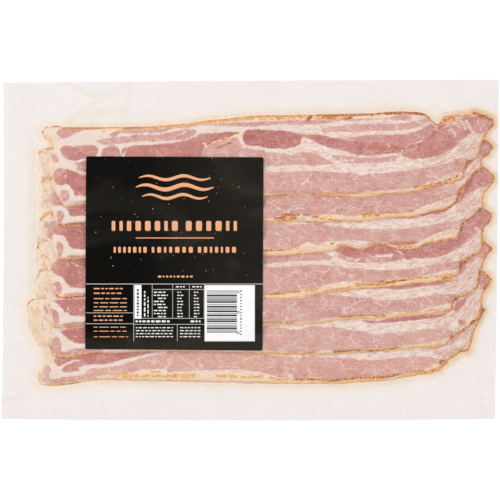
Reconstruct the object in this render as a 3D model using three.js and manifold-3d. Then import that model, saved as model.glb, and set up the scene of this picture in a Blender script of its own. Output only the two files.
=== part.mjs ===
// A clear vacuum pouch of seven shingled streaky bacon rashers, with a label stuck on its front, lying flat.
// Millimetres, +Z up. The origin is on the table under the middle of the pack, and +Y is towards the label's top.
// The shut pouch and what it holds are one solid. Its top is the film drawn down on to the rashers, so that each
// rasher's edge shows as a step. The rashers are listed from the uppermost one, which lies furthest towards +Y.

import * as THREE from 'three';
import { mergeVertices } from 'three/addons/utils/BufferGeometryUtils.js';
import Module from 'manifold-3d';

const wasm = await Module();
wasm.setup();

// Driving sizes of the pack
const PACK_WIDTH = 298.4;
const PACK_DEPTH = 204.6;
const SEAL_THICKNESS = 0.5;
const EDGE_BOW = 0.9;
const CORNER_SKEW = 1.1;

// Driving sizes of a rasher
const THICKNESS = 2.5;
const WIDTH_AT_STATIONS = [47.4, 46.8, 49.0, 49.8, 45.9];
const STATIONS_X = [-94.2, -36.0, 9.0, 57.0, 105.0];
const DRAPE_RUN = 9;
const END_DRAPE_RUN = 5;
const LEFT_END_WAVE = 3.2;
const SHOULDER = { bulge: 8.4, place: 0.35, spread: 0.17 };
const END_ZONES = { leftStops: 0.15, rightStarts: 0.82 };
const RIPPLE = { height: 0.22, lengthX: 41, lengthY: 23, turnX: 1.7, turnY: 0.9 };

// The film's way down from a rasher's edge: how far out each ring stands, and how far it has dropped
const FILM_RINGS = [
  { out: 0.7, drop: 0.3 },
  { out: 1.6, drop: 0.8 },
];
const FILM_FOOT = { out: 4.4, height: 0.15 };
const FOOT_SMOOTHING = 6;

// Where each rasher lies: its four corners, and its rind edge's Y at the stations. The shoulder scales its right end.
const RASHERS = [
  { lowerLeft: [-110.4, 25.8], lowerRight: [127.2, 42.6], upperLeft: [-125.4, 72.0], tip: [146.2, 77.4],
    rind: [26.4, 30.0, 30.8, 31.8, 36.3], shoulder: 0.3 },
  { lowerLeft: [-115.2, 14.4], lowerRight: [123.0, 27.3], upperLeft: [-127.2, 59.4], tip: [145.0, 62.4],
    rind: [15.0, 15.6, 16.2, 18.0, 22.2], shoulder: 0.8 },
  { lowerLeft: [-115.5, -6.0], lowerRight: [124.2, 6.9], upperLeft: [-126.0, 43.2], tip: [146.2, 44.4],
    rind: [-5.7, -4.2, -3.6, 0.6, 2.7], shoulder: 0.9 },
  { lowerLeft: [-115.8, -28.8], lowerRight: [123.0, -16.2], upperLeft: [-125.4, 21.6], tip: [145.2, 21.0],
    rind: [-28.2, -28.8, -29.4, -24.6, -19.8], shoulder: 1.0 },
  { lowerLeft: [-117.6, -46.8], lowerRight: [120.6, -35.4], upperLeft: [-127.8, 3.4], tip: [145.0, 1.2],
    rind: [-45.6, -44.4, -45.3, -43.2, -39.0], shoulder: 1.0 },
  { lowerLeft: [-117.6, -64.2], lowerRight: [117.6, -57.0], upperLeft: [-129.0, -14.2], tip: [144.8, -16.8],
    rind: [-61.8, -60.6, -62.4, -63.0, -58.2], shoulder: 1.0 },
  { lowerLeft: [-126.6, -81.6], lowerRight: [114.6, -71.4], upperLeft: [-134.4, -32.4], tip: [140.8, -35.0],
    rind: [-79.2, -79.8, -80.7, -79.8, -75.0], shoulder: 1.0 },
];

// Driving sizes of the label
const LABEL = { left: -98.4, right: 7.8, bottom: -60.0, top: 56.0, thickness: 0.35, cornerCut: 0.36 };
const LABEL_LIFT = 0.35;
const LABEL_GAP = 0.3;
const LABEL_EASE = 15;
const CLEAR_ABOVE = 30;

// How finely the solids are faceted, and how far a rasher's steps bunch up towards its ends
const RASHER_STEPS = { along: 44, across: 8 };
const STEP_BUNCHING = 0.45;
const LABEL_STEPS = { along: 18, across: 20 };
const OUTLINE_STEPS = 24;

const { lerp, smoothstep } = THREE.MathUtils;

const bell = (value, place, spread) => Math.exp(-(((value - place) / spread) ** 2));

/** A smooth line Y(x) through points in rising x, held level past its ends. */
function smoothLine(points) {
  const slope = (k) => {
    const [x0, y0] = points[Math.max(k - 1, 0)];
    const [x1, y1] = points[Math.min(k + 1, points.length - 1)];
    return (y1 - y0) / (x1 - x0);
  };
  return (x) => {
    const held = THREE.MathUtils.clamp(x, points[0][0], points[points.length - 1][0]);
    let k = 0;
    while (k < points.length - 2 && held > points[k + 1][0]) k += 1;
    const [x0, y0] = points[k];
    const [x1, y1] = points[k + 1];
    const run = x1 - x0;
    const t = (held - x0) / run;
    const bend0 = slope(k) * run;
    const bend1 = slope(k + 1) * run;
    return (2 * t ** 3 - 3 * t ** 2 + 1) * y0 + (t ** 3 - 2 * t ** 2 + t) * bend0
      + (3 * t ** 2 - 2 * t ** 3) * y1 + (t ** 3 - t ** 2) * bend1;
  };
}

/** Adds to a rasher the lines of its rind edge and of its upper edge. */
function withEdges(rasher) {
  const lower = STATIONS_X.map((x, k) => [x, rasher.rind[k]]);
  const upper = STATIONS_X.map((x, k) => [x, rasher.rind[k] + WIDTH_AT_STATIONS[k]]);
  return {
    ...rasher,
    lowerY: smoothLine([rasher.lowerLeft, ...lower, rasher.lowerRight]),
    upperY: smoothLine([rasher.upperLeft, ...upper, rasher.tip]),
  };
}

const rashers = RASHERS.map(withEdges);

const leftShift = (f) => -LEFT_END_WAVE * Math.sin(2 * Math.PI * f);
const rightShift = (rasher, f) => rasher.shoulder * SHOULDER.bulge * bell(f, SHOULDER.place, SHOULDER.spread);

/** A point of a rasher's face: s runs from its left end to its right, f from the rind edge to the upper edge. */
function rasherPoint(rasher, s, f) {
  const xLower = lerp(rasher.lowerLeft[0], rasher.lowerRight[0], s);
  const xUpper = lerp(rasher.upperLeft[0], rasher.tip[0], s);
  const leftPart = leftShift(f) * (1 - smoothstep(s, 0, END_ZONES.leftStops));
  const rightPart = rightShift(rasher, f) * smoothstep(s, END_ZONES.rightStarts, 1);
  return {
    x: lerp(xLower, xUpper, f) + leftPart + rightPart,
    y: lerp(rasher.lowerY(xLower), rasher.upperY(xUpper), f),
  };
}

/** How far a point lies inside a rasher's outline, over the run in which a rasher on top comes down past it. */
function cover(rasher, x, y, ease = 0) {
  const low = rasher.lowerY(x);
  const high = rasher.upperY(x);
  const f = THREE.MathUtils.clamp((y - low) / (high - low), 0, 1);
  const left = lerp(rasher.lowerLeft[0], rasher.upperLeft[0], f) + leftShift(f);
  const right = lerp(rasher.lowerRight[0], rasher.tip[0], f) + rightShift(rasher, f);
  const acrossRun = DRAPE_RUN + ease;
  const endRun = END_DRAPE_RUN + ease;
  return smoothstep(high - y, -acrossRun / 2, acrossRun / 2) * smoothstep(y - low, -acrossRun / 2, acrossRun / 2)
    * smoothstep(x - left, -endRun / 2, endRun / 2) * smoothstep(right - x, -endRun / 2, endRun / 2);
}

/** The height of a rasher's face, over however many others lie under it there. */
function faceHeight(index, x, y) {
  const under = rashers.slice(index + 1).reduce((sum, rasher) => sum + cover(rasher, x, y), 0);
  const ripple = RIPPLE.height * Math.sin(x / RIPPLE.lengthX * 2 * Math.PI + RIPPLE.turnX * index)
    * Math.cos(y / RIPPLE.lengthY * 2 * Math.PI + RIPPLE.turnY * index);
  return THICKNESS * (1 + under) + ripple;
}

/** The height at which the stiff label rides, bridging the steps between the rashers. */
function labelHeight(x, y) {
  const layers = rashers.reduce((sum, rasher) => sum + cover(rasher, x, y, LABEL_EASE), 0);
  return THICKNESS * layers + LABEL_LIFT;
}

/** A closed body from a list of points and of triangles. */
function solid(points, triangles) {
  const geometry = new THREE.BufferGeometry();
  geometry.setAttribute('position', new THREE.Float32BufferAttribute(points.flat(), 3));
  geometry.setIndex(triangles.flat());
  return toManifold(geometry);
}

function toManifold(geometry) {
  const bare = geometry.clone();
  bare.deleteAttribute('normal');
  bare.deleteAttribute('uv');
  const merged = mergeVertices(bare, 1e-5);
  return new wasm.Manifold(new wasm.Mesh({
    numProp: 3,
    vertProperties: new Float32Array(merged.attributes.position.array),
    triVerts: new Uint32Array(merged.index.array),
  }));
}

function toGeometry(manifold) {
  const mesh = manifold.getMesh();
  const geometry = new THREE.BufferGeometry();
  geometry.setAttribute('position', new THREE.BufferAttribute(new Float32Array(mesh.vertProperties), 3));
  geometry.setIndex(new THREE.BufferAttribute(new Uint32Array(mesh.triVerts), 1));
  geometry.computeVertexNormals();
  return geometry;
}

/** The places round a grid of (along + 1) x (across + 1) points, anticlockwise from its first corner. */
function gridRim({ along, across }) {
  const at = (i, j) => i * (across + 1) + j;
  return [
    ...Array.from({ length: along }, (_, k) => at(k, 0)),
    ...Array.from({ length: across }, (_, k) => at(along, k)),
    ...Array.from({ length: along }, (_, k) => at(along - k, across)),
    ...Array.from({ length: across }, (_, k) => at(0, across - k)),
  ];
}

/** The grid's triangles, facing up when s runs along +X and f along +Y. */
function gridTriangles({ along, across }) {
  const triangles = [];
  for (let i = 0; i < along; i += 1) {
    for (let j = 0; j < across; j += 1) {
      const a = i * (across + 1) + j;
      const b = a + across + 1;
      triangles.push([a, b, b + 1], [a, b + 1, a + 1]);
    }
  }
  return triangles;
}

/** The band between two rings of the same length, facing out when the first ring is the upper one. */
function bandTriangles(upper, lower) {
  return upper.flatMap((a, k) => {
    const next = (k + 1) % upper.length;
    return [[a, lower[k], lower[next]], [a, lower[next], upper[next]]];
  });
}

/** Moves a closed loop of points outwards, then evens it out, as taut film does. */
function offsetLoop(loop, out, smoothing = 0) {
  const count = loop.length;
  const at = (ring, k) => ring[(k + count) % count];
  let moved = loop.map(([x, y], k) => {
    const [x0, y0] = at(loop, k - 1);
    const [x1, y1] = at(loop, k + 1);
    const size = Math.hypot(x1 - x0, y1 - y0);
    return [x + (y1 - y0) / size * out, y - (x1 - x0) / size * out];
  });
  for (let pass = 0; pass < smoothing; pass += 1) {
    moved = moved.map(([x, y], k) => {
      const [x0, y0] = at(moved, k - 1);
      const [x1, y1] = at(moved, k + 1);
      return [(x0 + 2 * x + x1) / 4, (y0 + 2 * y + y1) / 4];
    });
  }
  return moved;
}

/** One rasher under its film, down to just above the table. */
function rasherBody(rasher, index) {
  const { along, across } = RASHER_STEPS;
  const points = [];
  for (let i = 0; i <= along; i += 1) {
    const even = i / along;
    const s = lerp(even, (1 - Math.cos(Math.PI * even)) / 2, STEP_BUNCHING);
    for (let j = 0; j <= across; j += 1) {
      const { x, y } = rasherPoint(rasher, s, j / across);
      points.push([x, y, faceHeight(index, x, y)]);
    }
  }
  const triangles = gridTriangles(RASHER_STEPS);
  const rim = gridRim(RASHER_STEPS);
  const edge = rim.map((k) => points[k].slice(0, 2));
  const heights = rim.map((k) => points[k][2]);
  let upper = rim;
  const addRing = (loop, height) => {
    const lower = loop.map((_, k) => points.length + k);
    loop.forEach(([x, y], k) => points.push([x, y, height(k)]));
    triangles.push(...bandTriangles(upper, lower));
    upper = lower;
    return loop;
  };
  FILM_RINGS.forEach(({ out, drop }) => {
    addRing(offsetLoop(edge, out), (k) => heights[k] - drop * THICKNESS);
  });
  const foot = addRing(offsetLoop(edge, FILM_FOOT.out, FOOT_SMOOTHING), () => FILM_FOOT.height);
  const faces = THREE.ShapeUtils.triangulateShape(foot.map(([x, y]) => new THREE.Vector2(x, y)), []);
  triangles.push(...faces.map(([a, b, c]) => [upper[a], upper[c], upper[b]]));
  return solid(points, triangles);
}

/** The welded film round the bacon: a flat sheet with slightly bowed edges and unequal corners. */
function sealedSheet() {
  const halfWidth = PACK_WIDTH / 2;
  const halfDepth = PACK_DEPTH / 2;
  const innerY = halfDepth - EDGE_BOW;
  const outline = new THREE.Shape();
  outline.moveTo(-halfWidth, -innerY);
  outline.quadraticCurveTo(0, -halfDepth - EDGE_BOW, halfWidth - 2 * CORNER_SKEW, -innerY);
  outline.quadraticCurveTo(halfWidth - CORNER_SKEW / 2, 0, halfWidth, halfDepth);
  outline.quadraticCurveTo(0, halfDepth - EDGE_BOW / 2, -halfWidth + CORNER_SKEW, halfDepth - 2 * EDGE_BOW);
  outline.quadraticCurveTo(-halfWidth + 2 * CORNER_SKEW, 0, -halfWidth, -innerY);
  return toManifold(new THREE.ExtrudeGeometry(outline, {
    depth: SEAL_THICKNESS, bevelEnabled: false, curveSegments: OUTLINE_STEPS,
  }));
}

/** A block with the label's outline, grown by margin, between two height functions. */
function labelBlock(margin, bottomHeight, topHeight) {
  const { along, across } = LABEL_STEPS;
  const face = [];
  for (let i = 0; i <= along; i += 1) {
    for (let j = 0; j <= across; j += 1) {
      const cut = (i === 0 || i === along) && (j === 0 || j === across) ? LABEL.cornerCut : 0;
      const x = lerp(LABEL.left - margin + cut, LABEL.right + margin - cut, i / along);
      const y = lerp(LABEL.bottom - margin + cut, LABEL.top + margin - cut, j / across);
      face.push([x, y]);
    }
  }
  const points = [
    ...face.map(([x, y]) => [x, y, topHeight(x, y)]),
    ...face.map(([x, y]) => [x, y, bottomHeight(x, y)]),
  ];
  const top = gridTriangles(LABEL_STEPS);
  const under = top.map(([a, b, c]) => [a + face.length, c + face.length, b + face.length]);
  const rim = gridRim(LABEL_STEPS);
  const side = bandTriangles(rim, rim.map((k) => k + face.length));
  return solid(points, [...top, ...under, ...side]);
}

const material = (color, roughness) => new THREE.MeshStandardMaterial({ color, roughness, metalness: 0 });

/** The shut pouch: sealed sheet, rashers under film, and the film held level under the label. */
function pouch() {
  const restHeight = (x, y) => labelHeight(x, y) - LABEL_GAP;
  const filled = rashers.map(rasherBody).reduce((sum, body) => sum.add(body), sealedSheet());
  const overLabelBed = labelBlock(LABEL_GAP, restHeight, () => CLEAR_ABOVE);
  const labelBed = labelBlock(LABEL_GAP, () => FILM_FOOT.height, restHeight);
  const mesh = new THREE.Mesh(toGeometry(filled.subtract(overLabelBed).add(labelBed)), material(0xd9a49a, 0.3));
  mesh.name = 'pouch';
  return mesh;
}

function label() {
  const block = labelBlock(0, labelHeight, (x, y) => labelHeight(x, y) + LABEL.thickness);
  const mesh = new THREE.Mesh(toGeometry(block), material(0x1b1916, 0.45));
  mesh.name = 'label';
  return mesh;
}

const pack = new THREE.Group();
pack.add(pouch(), label());

export default pack;
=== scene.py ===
"""A clear vacuum pouch of seven shingled streaky bacon rashers with a black label, lying flat.

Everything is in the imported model's frame, in metres once it is a mesh. The shapes are worked out in
millimetres of that frame: +X runs along the rashers, +Y towards the label's top, and the table is at Z 0. The
rashers are listed from the uppermost one, which lies furthest towards +Y. Each has an outline of four edges,
and its meat, veins, smoked rind and yellowed fat are painted as distances on its mesh, which the bacon
material turns into colour.
"""

import bpy
import numpy as np
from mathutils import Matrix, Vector


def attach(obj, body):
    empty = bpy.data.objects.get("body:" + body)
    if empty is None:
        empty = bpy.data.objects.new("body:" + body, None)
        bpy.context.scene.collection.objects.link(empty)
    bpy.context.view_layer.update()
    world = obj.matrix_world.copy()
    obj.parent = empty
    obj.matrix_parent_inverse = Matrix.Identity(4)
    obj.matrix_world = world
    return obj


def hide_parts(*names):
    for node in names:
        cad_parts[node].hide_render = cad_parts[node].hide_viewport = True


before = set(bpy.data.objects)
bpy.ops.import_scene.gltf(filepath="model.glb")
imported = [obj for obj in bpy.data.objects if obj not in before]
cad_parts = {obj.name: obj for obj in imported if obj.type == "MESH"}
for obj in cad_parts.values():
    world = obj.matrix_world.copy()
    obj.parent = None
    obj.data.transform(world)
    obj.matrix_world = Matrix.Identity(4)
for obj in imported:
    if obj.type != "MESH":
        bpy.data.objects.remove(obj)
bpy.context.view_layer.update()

MM = 0.001
BODY = "root"

# Driving sizes of the pack, in millimetres
RASHER_LENGTH = 260.0
RASHER_WIDTH = 48.0
RASHER_THICKNESS = 2.5
RASHER_BASE = 0.07
EDGE_ROUNDING = 4.8
LEFT_END_ROUNDING = 11.0
EDGE_SHARE = 0.05
LEFT_END_SHARE = 0.02
DRAPE_OUT = 3.0
DRAPE_IN = 1.6
RIPPLE = {"height": 0.14, "length_x": 41.0, "length_y": 23.0, "turn_x": 1.7, "turn_y": 0.9}
PACK_WIDTH = 298.4
PACK_DEPTH = 204.6
EDGE_BOW = 0.9
CORNER_SKEW = 1.1
SEAL_HEIGHT = 0.42
RIM_HEIGHT = 0.06
FILM_LIFT = 0.12
FILM_BLEND = 1.8
FILM_SMOOTHING = 0.6
BACK_FILM_HEIGHT = 0.03

# The label's corners, from the upper left one round by the right, and its sizes
LABEL_CORNERS = [(-98.1, 56.1), (8.1, 55.5), (7.5, -60.3), (-98.7, -59.4)]
LABEL_THICKNESS = 0.28
LABEL_LIFT = 0.05
LABEL_REACH = 4
LABEL_EASE = 2.8
LABEL_CORNER_RADIUS = 1.1
INK_THICKNESS = 0.03
INK_LIFT = 0.025

# How finely things are meshed
STEPS_ALONG = 400
STEPS_ACROSS = 62
UNDERSIDE_SHARE = 4
FILM_STEPS = (250, 172)
END_RIM_SHARE = 0.006
SIDE_RIM_SHARE = 0.03
RASTER_STEP = 1.0
RASTER_REACH_X = 152.0
RASTER_REACH_Y = 106.0
DEPTH_REACH = 16.0
LABEL_STEP = 1.0
WAVE_STEP = 0.7

# Where the lobes at the left end and the frayed right ends begin and are full
LOBES = (-126.0, -113.0)
RIGHT_ENDS = (92.0, 122.0)

# In the lobes a rasher lies close on the ones below it, from this far outside their edges, and does so wholly
# where left_end has come to this share
LOBE_OVERHANG = 0.4
LOBE_CONTACT_BY = 0.6


def muscle(tone, *points):
    """A patch of meat with a smooth outline. Its tone runs from 0, pale, to 1, dark red."""
    return {"kind": "muscle", "tone": tone, "points": points}


def fat(half_width, *points):
    """A seam of fat along a smooth line."""
    return {"kind": "fat", "half_width": half_width, "points": points}


def smoke(strength, half_width, *points):
    """A smoked, orange-brown stroke along a smooth line."""
    return {"kind": "smoke", "strength": strength, "half_width": half_width, "points": points}


def cream(strength, half_width, *points):
    """A stroke of yellowed fat along a smooth line."""
    return {"kind": "cream", "strength": strength, "half_width": half_width, "points": points}


def warm(strength, half_width, *points):
    """A broad stroke in which the meat has a warmer, more orange tint."""
    return {"kind": "warm", "strength": strength, "half_width": half_width, "points": points}


# How deep the small dents are in the rashers' edges, how wide they are and how far in they fade out
DENT_DEPTH = 0.14
DENT_DEPTH_AT_ENDS = 0.42
DENT_WIDTH = 0.8
DENT_FADE = 1.8
DENT_SEED = 3
OUTLINE_STEP = 0.9

# The rashers' edges and marks in millimetres, numbered from the uppermost rasher. The rind edge and the upper
# edge run from left to right, and the ends run up from the rind edge. Later marks lie over earlier ones.
RIND_1 = [
    (-110.4, 25.8), (-98, 26.7), (-36, 30), (8.4, 31.2), (13.2, 31.8), (20.4, 32.3), (36, 32.4), (48, 32.4),
    (57, 32.2), (62, 31.4), (69, 31.4), (75, 32.3), (82, 33.6), (96, 34), (101, 35.3), (108, 37.2),
    (115, 38.9), (121.5, 40.2), (127.2, 43.2),
]
UPPER_1 = [
    (-119.6, 74.4), (-100, 73.8), (-75, 73.8), (-52, 74.6), (-36.6, 76), (-28, 77.4), (-14, 78.8),
    (0, 80.4), (23, 80.9), (36, 81.2), (51, 81.7), (71, 82), (85, 82.9), (99, 82.9), (104.5, 82),
    (108, 79.8), (110.6, 76.8), (113, 75), (114.4, 76.8), (116, 79.6), (121, 80.4), (130, 81.2),
    (135, 82.6), (141, 81.4), (146.6, 78.3),
]
LEFT_1 = [
    (-110.4, 25.8), (-113.2, 28.6), (-115, 32), (-117.8, 35.5), (-119.5, 40), (-120.4, 48), (-121, 58),
    (-121.6, 65), (-124.9, 70.2), (-123.4, 73.4), (-119.6, 74.4),
]
RIGHT_1 = [
    (127.2, 43.2), (128.4, 47.6), (131.2, 52.2), (135.4, 54.8), (137.2, 57), (137.9, 61), (139.8, 66),
    (142.6, 71), (146.4, 74.6), (146.6, 78.3),
]
MARBLING_1 = [
    muscle(0.35, (-116, 70), (-114.5, 72.5), (-111, 73.2), (-98, 73.2), (-89, 73), (-93, 72.2), (-99, 71.8),
        (-104, 70.2), (-109.5, 67.5), (-112, 66.5), (-114.5, 68)),
    muscle(0.25, (-88, 72.2), (-87, 71.6), (-86.6, 70), (-87.8, 70.2)),
    muscle(0.62, (-113.6, 60.6), (-112, 62.3), (-106, 62.2), (-96, 63), (-92.4, 62.3), (-90.7, 60.3),
        (-94, 55.3), (-100, 54.6), (-104, 53.3), (-108, 53.5), (-113, 58)),
    muscle(0.5, (-106.5, 51.5), (-103, 52.2), (-100, 53.3), (-90, 52.6), (-88, 47), (-97, 46.4),
        (-100.6, 46.8), (-104.2, 48.5), (-103.6, 50.4)),
    fat(0.22, (-106, 51.4), (-103.6, 51.2), (-102, 50.2)),
    muscle(0.7, (-118, 45.4), (-114.5, 49.1), (-111, 48.6), (-107, 48), (-104, 46.6), (-101, 45.4),
        (-90, 42), (-88, 33.6), (-97, 32.6), (-100, 31.8), (-102, 32.8), (-104.3, 32.1), (-106, 35.5),
        (-108, 38), (-110.2, 39.8), (-112.5, 38.7), (-115.5, 39.5), (-117.6, 42)),
    fat(0.16, (-114.1, 44.4), (-112.5, 46.4), (-110.4, 47.1), (-110.2, 45), (-110.9, 41.8)),
    fat(0.12, (-103.5, 41.9), (-102.4, 43.2), (-101.4, 45)),
    muscle(0.33, (-112.9, 35.4), (-110.8, 36.1), (-108.6, 35), (-107.9, 32.5), (-110.2, 28.6),
        (-112.3, 28.5), (-113.2, 30.4)),
    muscle(0.12, (-110, 28.2), (-98, 29.8), (-90, 29.9), (-90, 28.8), (-98, 28.8), (-106, 28)),
    muscle(0.2, (-108, 26.4), (-98, 27.9), (-90, 28.2), (-90, 27), (-98, 27), (-106, 26.3)),
    muscle(0.45, (-119.6, 57.8), (-117.4, 57.8), (-115, 55.4), (-114.8, 52.6), (-117.2, 53),
        (-119.6, 55.6)),
    muscle(0.2, (-117.6, 52.6), (-116.8, 52.6), (-117, 51.8)),
    muscle(0.3, (-115.2, 66.6), (-114.2, 66.6), (-114.6, 65.6), (-115.2, 65.8)),
    muscle(0.3, (-76, 72.8), (-60, 72.4), (-30, 75.2), (12, 77.4), (80, 79), (97, 79.9), (97, 79.1),
        (85, 78.4), (60, 77.2), (50, 76.7), (42, 75.7), (28, 75.3), (17, 75.4), (8, 74.4), (-20, 74.4),
        (-34, 74.2), (-40, 73), (-46, 72.5), (-52, 70.8), (-62, 70.2), (-72, 69.9), (-77, 71)),
    muscle(0.4, (-84.6, 69.3), (-82, 70.6), (-77.5, 71.6), (-76.2, 71), (-78.5, 69.6), (-83.6, 68.4)),
    muscle(0.27, (-92.8, 65.4), (-90.6, 66.2), (-86, 66.9), (-66, 69), (-52, 69.6), (-47, 71), (-41, 72),
        (-35, 72.6), (-32.4, 71.8), (-32.8, 69.2), (-36, 67.5), (-46, 65.6), (-62, 65), (-81, 63.4),
        (-85, 62.7), (-89.4, 63.6)),
    fat(0.18, (-74, 68.8), (-71.6, 67), (-69.6, 64.4)),
    muscle(0.52, (-89.2, 58), (-88.4, 60.4), (-86, 61.6), (-81, 61.9), (-78.6, 61), (-77.7, 58.6),
        (-77, 54), (-88, 54)),
    muscle(0.6, (-77, 59), (-76, 61.2), (-74.4, 61.6), (-76.2, 57.2)),
    muscle(0.66, (-75, 54), (-74.6, 59), (-73, 61.6), (-70, 62.6), (-62, 63), (-54, 63.6), (-47, 64.2),
        (-36, 66.7), (-32.6, 68), (-30.4, 69.6), (-25, 70.1), (-19, 70.4), (-13, 70.8), (-7.4, 70.4),
        (-9.6, 69), (-14, 67.4), (-19, 66.2), (-26.4, 62.4), (-28.4, 59.4), (-29.4, 54)),
    fat(0.35, (-29, 63.8), (-27.4, 64), (-26.4, 63.2)),
    muscle(0.2, (-29, 54), (-28, 59), (-25.6, 62.2), (-22, 64.3), (-12, 67), (-8.6, 67.6), (-6.6, 66),
        (-6, 64.2), (-2.4, 62), (3, 60.4), (9, 59.6), (9, 54)),
    muscle(0.88, (-4.4, 66.4), (-2.4, 71.9), (2, 72.4), (8, 72.2), (16, 71.8), (22, 71.4), (25, 70.6),
        (29, 69.8), (31, 68.6), (30.6, 66), (30.2, 63.6), (27, 61.9), (22, 60.4), (16, 60.7), (10, 61),
        (5, 62), (0, 62.2), (-3.2, 63.8)),
    muscle(0.5, (26, 69.9), (32, 69.7), (43, 68.6), (47, 67.6), (42, 66), (33, 67.2)),
    muscle(0.7, (34.5, 67), (39, 68.4), (44, 68.1), (50, 67.3), (55, 66.8), (60, 65.9), (78, 63.2),
        (84, 61.4), (90, 60.2), (91, 58.9), (85, 57.9), (65, 56.9), (60, 58), (55, 59.6), (50, 60.6),
        (41, 63.6), (38, 65.4)),
    muscle(0.42, (57, 67.4), (62, 68), (74, 69.3), (86, 69.2), (98, 70.6), (103, 73), (108, 75.6),
        (110.8, 75.4), (111.2, 71.2), (108.2, 66.9), (103.2, 64), (97.3, 61.8), (91.6, 60.4), (86, 61.1),
        (80, 62.9), (68, 64.7), (62, 66)),
    smoke(0.85, 0.12, (73, 64.2), (78, 63.5), (82, 62.2), (87, 61.2), (92, 60.8)),
    fat(0.2, (99, 63.6), (107.2, 68.4), (110, 71.8)),
    muscle(1, (84, 61.9), (91.6, 61), (103, 64.9), (108, 67.9), (111, 71.6), (111.7, 71.2), (108.6, 67.1),
        (103.3, 64), (91.6, 60.2), (84, 61.2)),
    smoke(0.85, 0.22, (-26, 62.9), (-23.6, 64.4), (-21, 66.2), (-12.6, 67.8), (-10, 69.4), (-7, 70.1)),
    smoke(0.8, 0.18, (-20.2, 61), (-17, 61.9), (-14, 63.4), (-10.6, 64.6)),
    smoke(0.35, 0.3, (-6, 70.2), (10, 68.8)),
    smoke(0.5, 0.35, (36, 68.2), (42, 68.8)),
    muscle(0.12, (43, 71.4), (47, 73.9), (52, 74.4), (80, 75.8), (90, 75.9), (102, 78.4), (107, 79.9),
        (110, 78), (106.6, 76), (97, 72.7), (80, 71.7), (70, 71.3), (62, 70.4), (54, 70.8), (48, 70.9),
        (45, 70)),
    muscle(0.2, (8.4, 58.6), (16, 58), (22, 57.7), (24.4, 57), (28, 58.2), (36, 58.6), (40, 57.3),
        (48, 53.4), (51.4, 51.4), (47, 51.2), (38, 50.6), (24, 50.9), (17, 50.3), (8, 50.1), (-4, 50),
        (-4, 58)),
    fat(0.5, (-4, 61.6), (5, 61), (10, 60.2), (22, 59.6), (27, 60.8)),
    fat(0.3, (30, 59.4), (36, 59.2), (46, 55), (51, 52.2), (56, 51)),
    fat(0.3, (31, 61.2), (38, 60.2), (56, 53.8)),
    muscle(0.3, (54, 56.8), (60, 55.9), (72, 55.4), (80, 55.6), (86, 56.6), (90, 56.8), (88, 54.4),
        (78, 52.3), (70, 52.2), (62, 51.8), (56, 52.6), (51, 54.6), (48, 56.4)),
    fat(0.5, (54, 55), (58, 53.6), (62, 53.8)),
    muscle(0.52, (91, 57), (92, 60.4), (97, 61.9), (111.4, 71), (112.6, 74.2), (119, 76), (122, 77),
        (126, 79.2), (140, 79.4), (145.6, 77.6), (146.4, 75.6), (143.6, 72.4), (140, 70.4), (135, 70),
        (131.4, 69.4), (128.6, 66.8), (121.4, 60.6), (112, 56), (106, 54.9), (95, 55)),
    muscle(0.34, (135, 71.6), (136, 78.6), (141, 79.2), (145.4, 77.4), (146, 75.6), (143, 72.4),
        (139, 70.6)),
    muscle(0.75, (112, 62), (116, 66), (119, 69), (122, 68), (123, 65), (119, 61.4), (114, 60)),
    fat(0.7, (117.6, 74), (120.6, 75), (126.2, 79.2)),
    fat(0.75, (119.6, 74.6), (120.8, 72.6), (122, 71), (122.8, 69)),
    fat(0.5, (119.6, 72.4), (119.4, 71)),
    fat(0.6, (123.4, 76.6), (124.6, 74.6), (126, 73)),
    fat(0.6, (126, 78), (127.4, 75.8), (128.8, 74), (129, 72.2)),
    fat(0.95, (129.4, 78), (131, 75), (132.6, 72), (135, 70)),
    fat(0.45, (134.6, 77.6), (136.6, 76), (138, 73.8), (138.4, 71.4)),
    fat(0.35, (137, 77.6), (139.4, 76), (140.6, 74.2)),
    muscle(0.24, (-4, 46.4), (8, 46.8), (14, 46.4), (34, 47.4), (56, 46.3), (62, 46), (65, 45.2),
        (70, 45.4), (100, 48.7), (106, 49.9), (112, 50.7), (121, 53.2), (125, 54.9), (129, 55.5),
        (131, 53.4), (130.2, 50), (127.6, 47.8), (120, 45.8), (110, 41.3), (95, 36.9), (90, 36.4),
        (76, 35.2), (70, 34.9), (64, 33.8), (56, 33.7), (50, 34.2), (44, 33.4), (38, 33.3), (20, 32.9),
        (8, 33.7), (-4, 33)),
    fat(0.2, (38, 47.6), (33.4, 41.2), (30.6, 39.2)),
    fat(0.16, (65, 45.6), (63.4, 43.2), (61.6, 42)),
    fat(0.16, (33, 42.4), (35.6, 40), (42, 38.8)),
    smoke(0.75, 0.5, (-124.6, 70.6), (-123.4, 72.9), (-117, 74.4), (-112, 74.4)),
    smoke(0.45, 0.8, (-112, 73.4), (-88, 73.6)),
    smoke(0.3, 0.6, (-86, 73.5), (-78, 73.4), (-74, 73)),
    smoke(0.5, 0.5, (-75.4, 73), (-74.6, 73.4)),
    smoke(0.44, 0.5, (-74, 73.4), (-60, 73.7), (-38, 75.7), (-28, 77), (-14, 78.2), (0, 79.9)),
    smoke(0.34, 0.5, (-58, 73), (-46, 73.9), (-20, 76.8), (2, 78.6)),
    smoke(0.48, 0.5, (0, 80), (34, 80.6)),
    smoke(0.4, 0.4, (6, 78.4), (18, 78.6), (30, 79), (44, 78.8), (56, 79.2)),
    cream(0.95, 0.9, (-112, 73.2), (-76, 72.8), (-52, 73.8), (-24, 76.8), (0, 78.8), (20, 79.2),
        (98, 81.4)),
    smoke(0.7, 0.7, (16, 79), (17, 78.8)),
    smoke(0.95, 0.7, (34.6, 78), (36.6, 80.4)),
    smoke(0.78, 0.5, (40, 80.6), (60, 80.9), (86, 82.2), (100, 82.2), (105, 81.2)),
    smoke(0.7, 0.7, (44, 79.6), (51, 79)),
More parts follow.
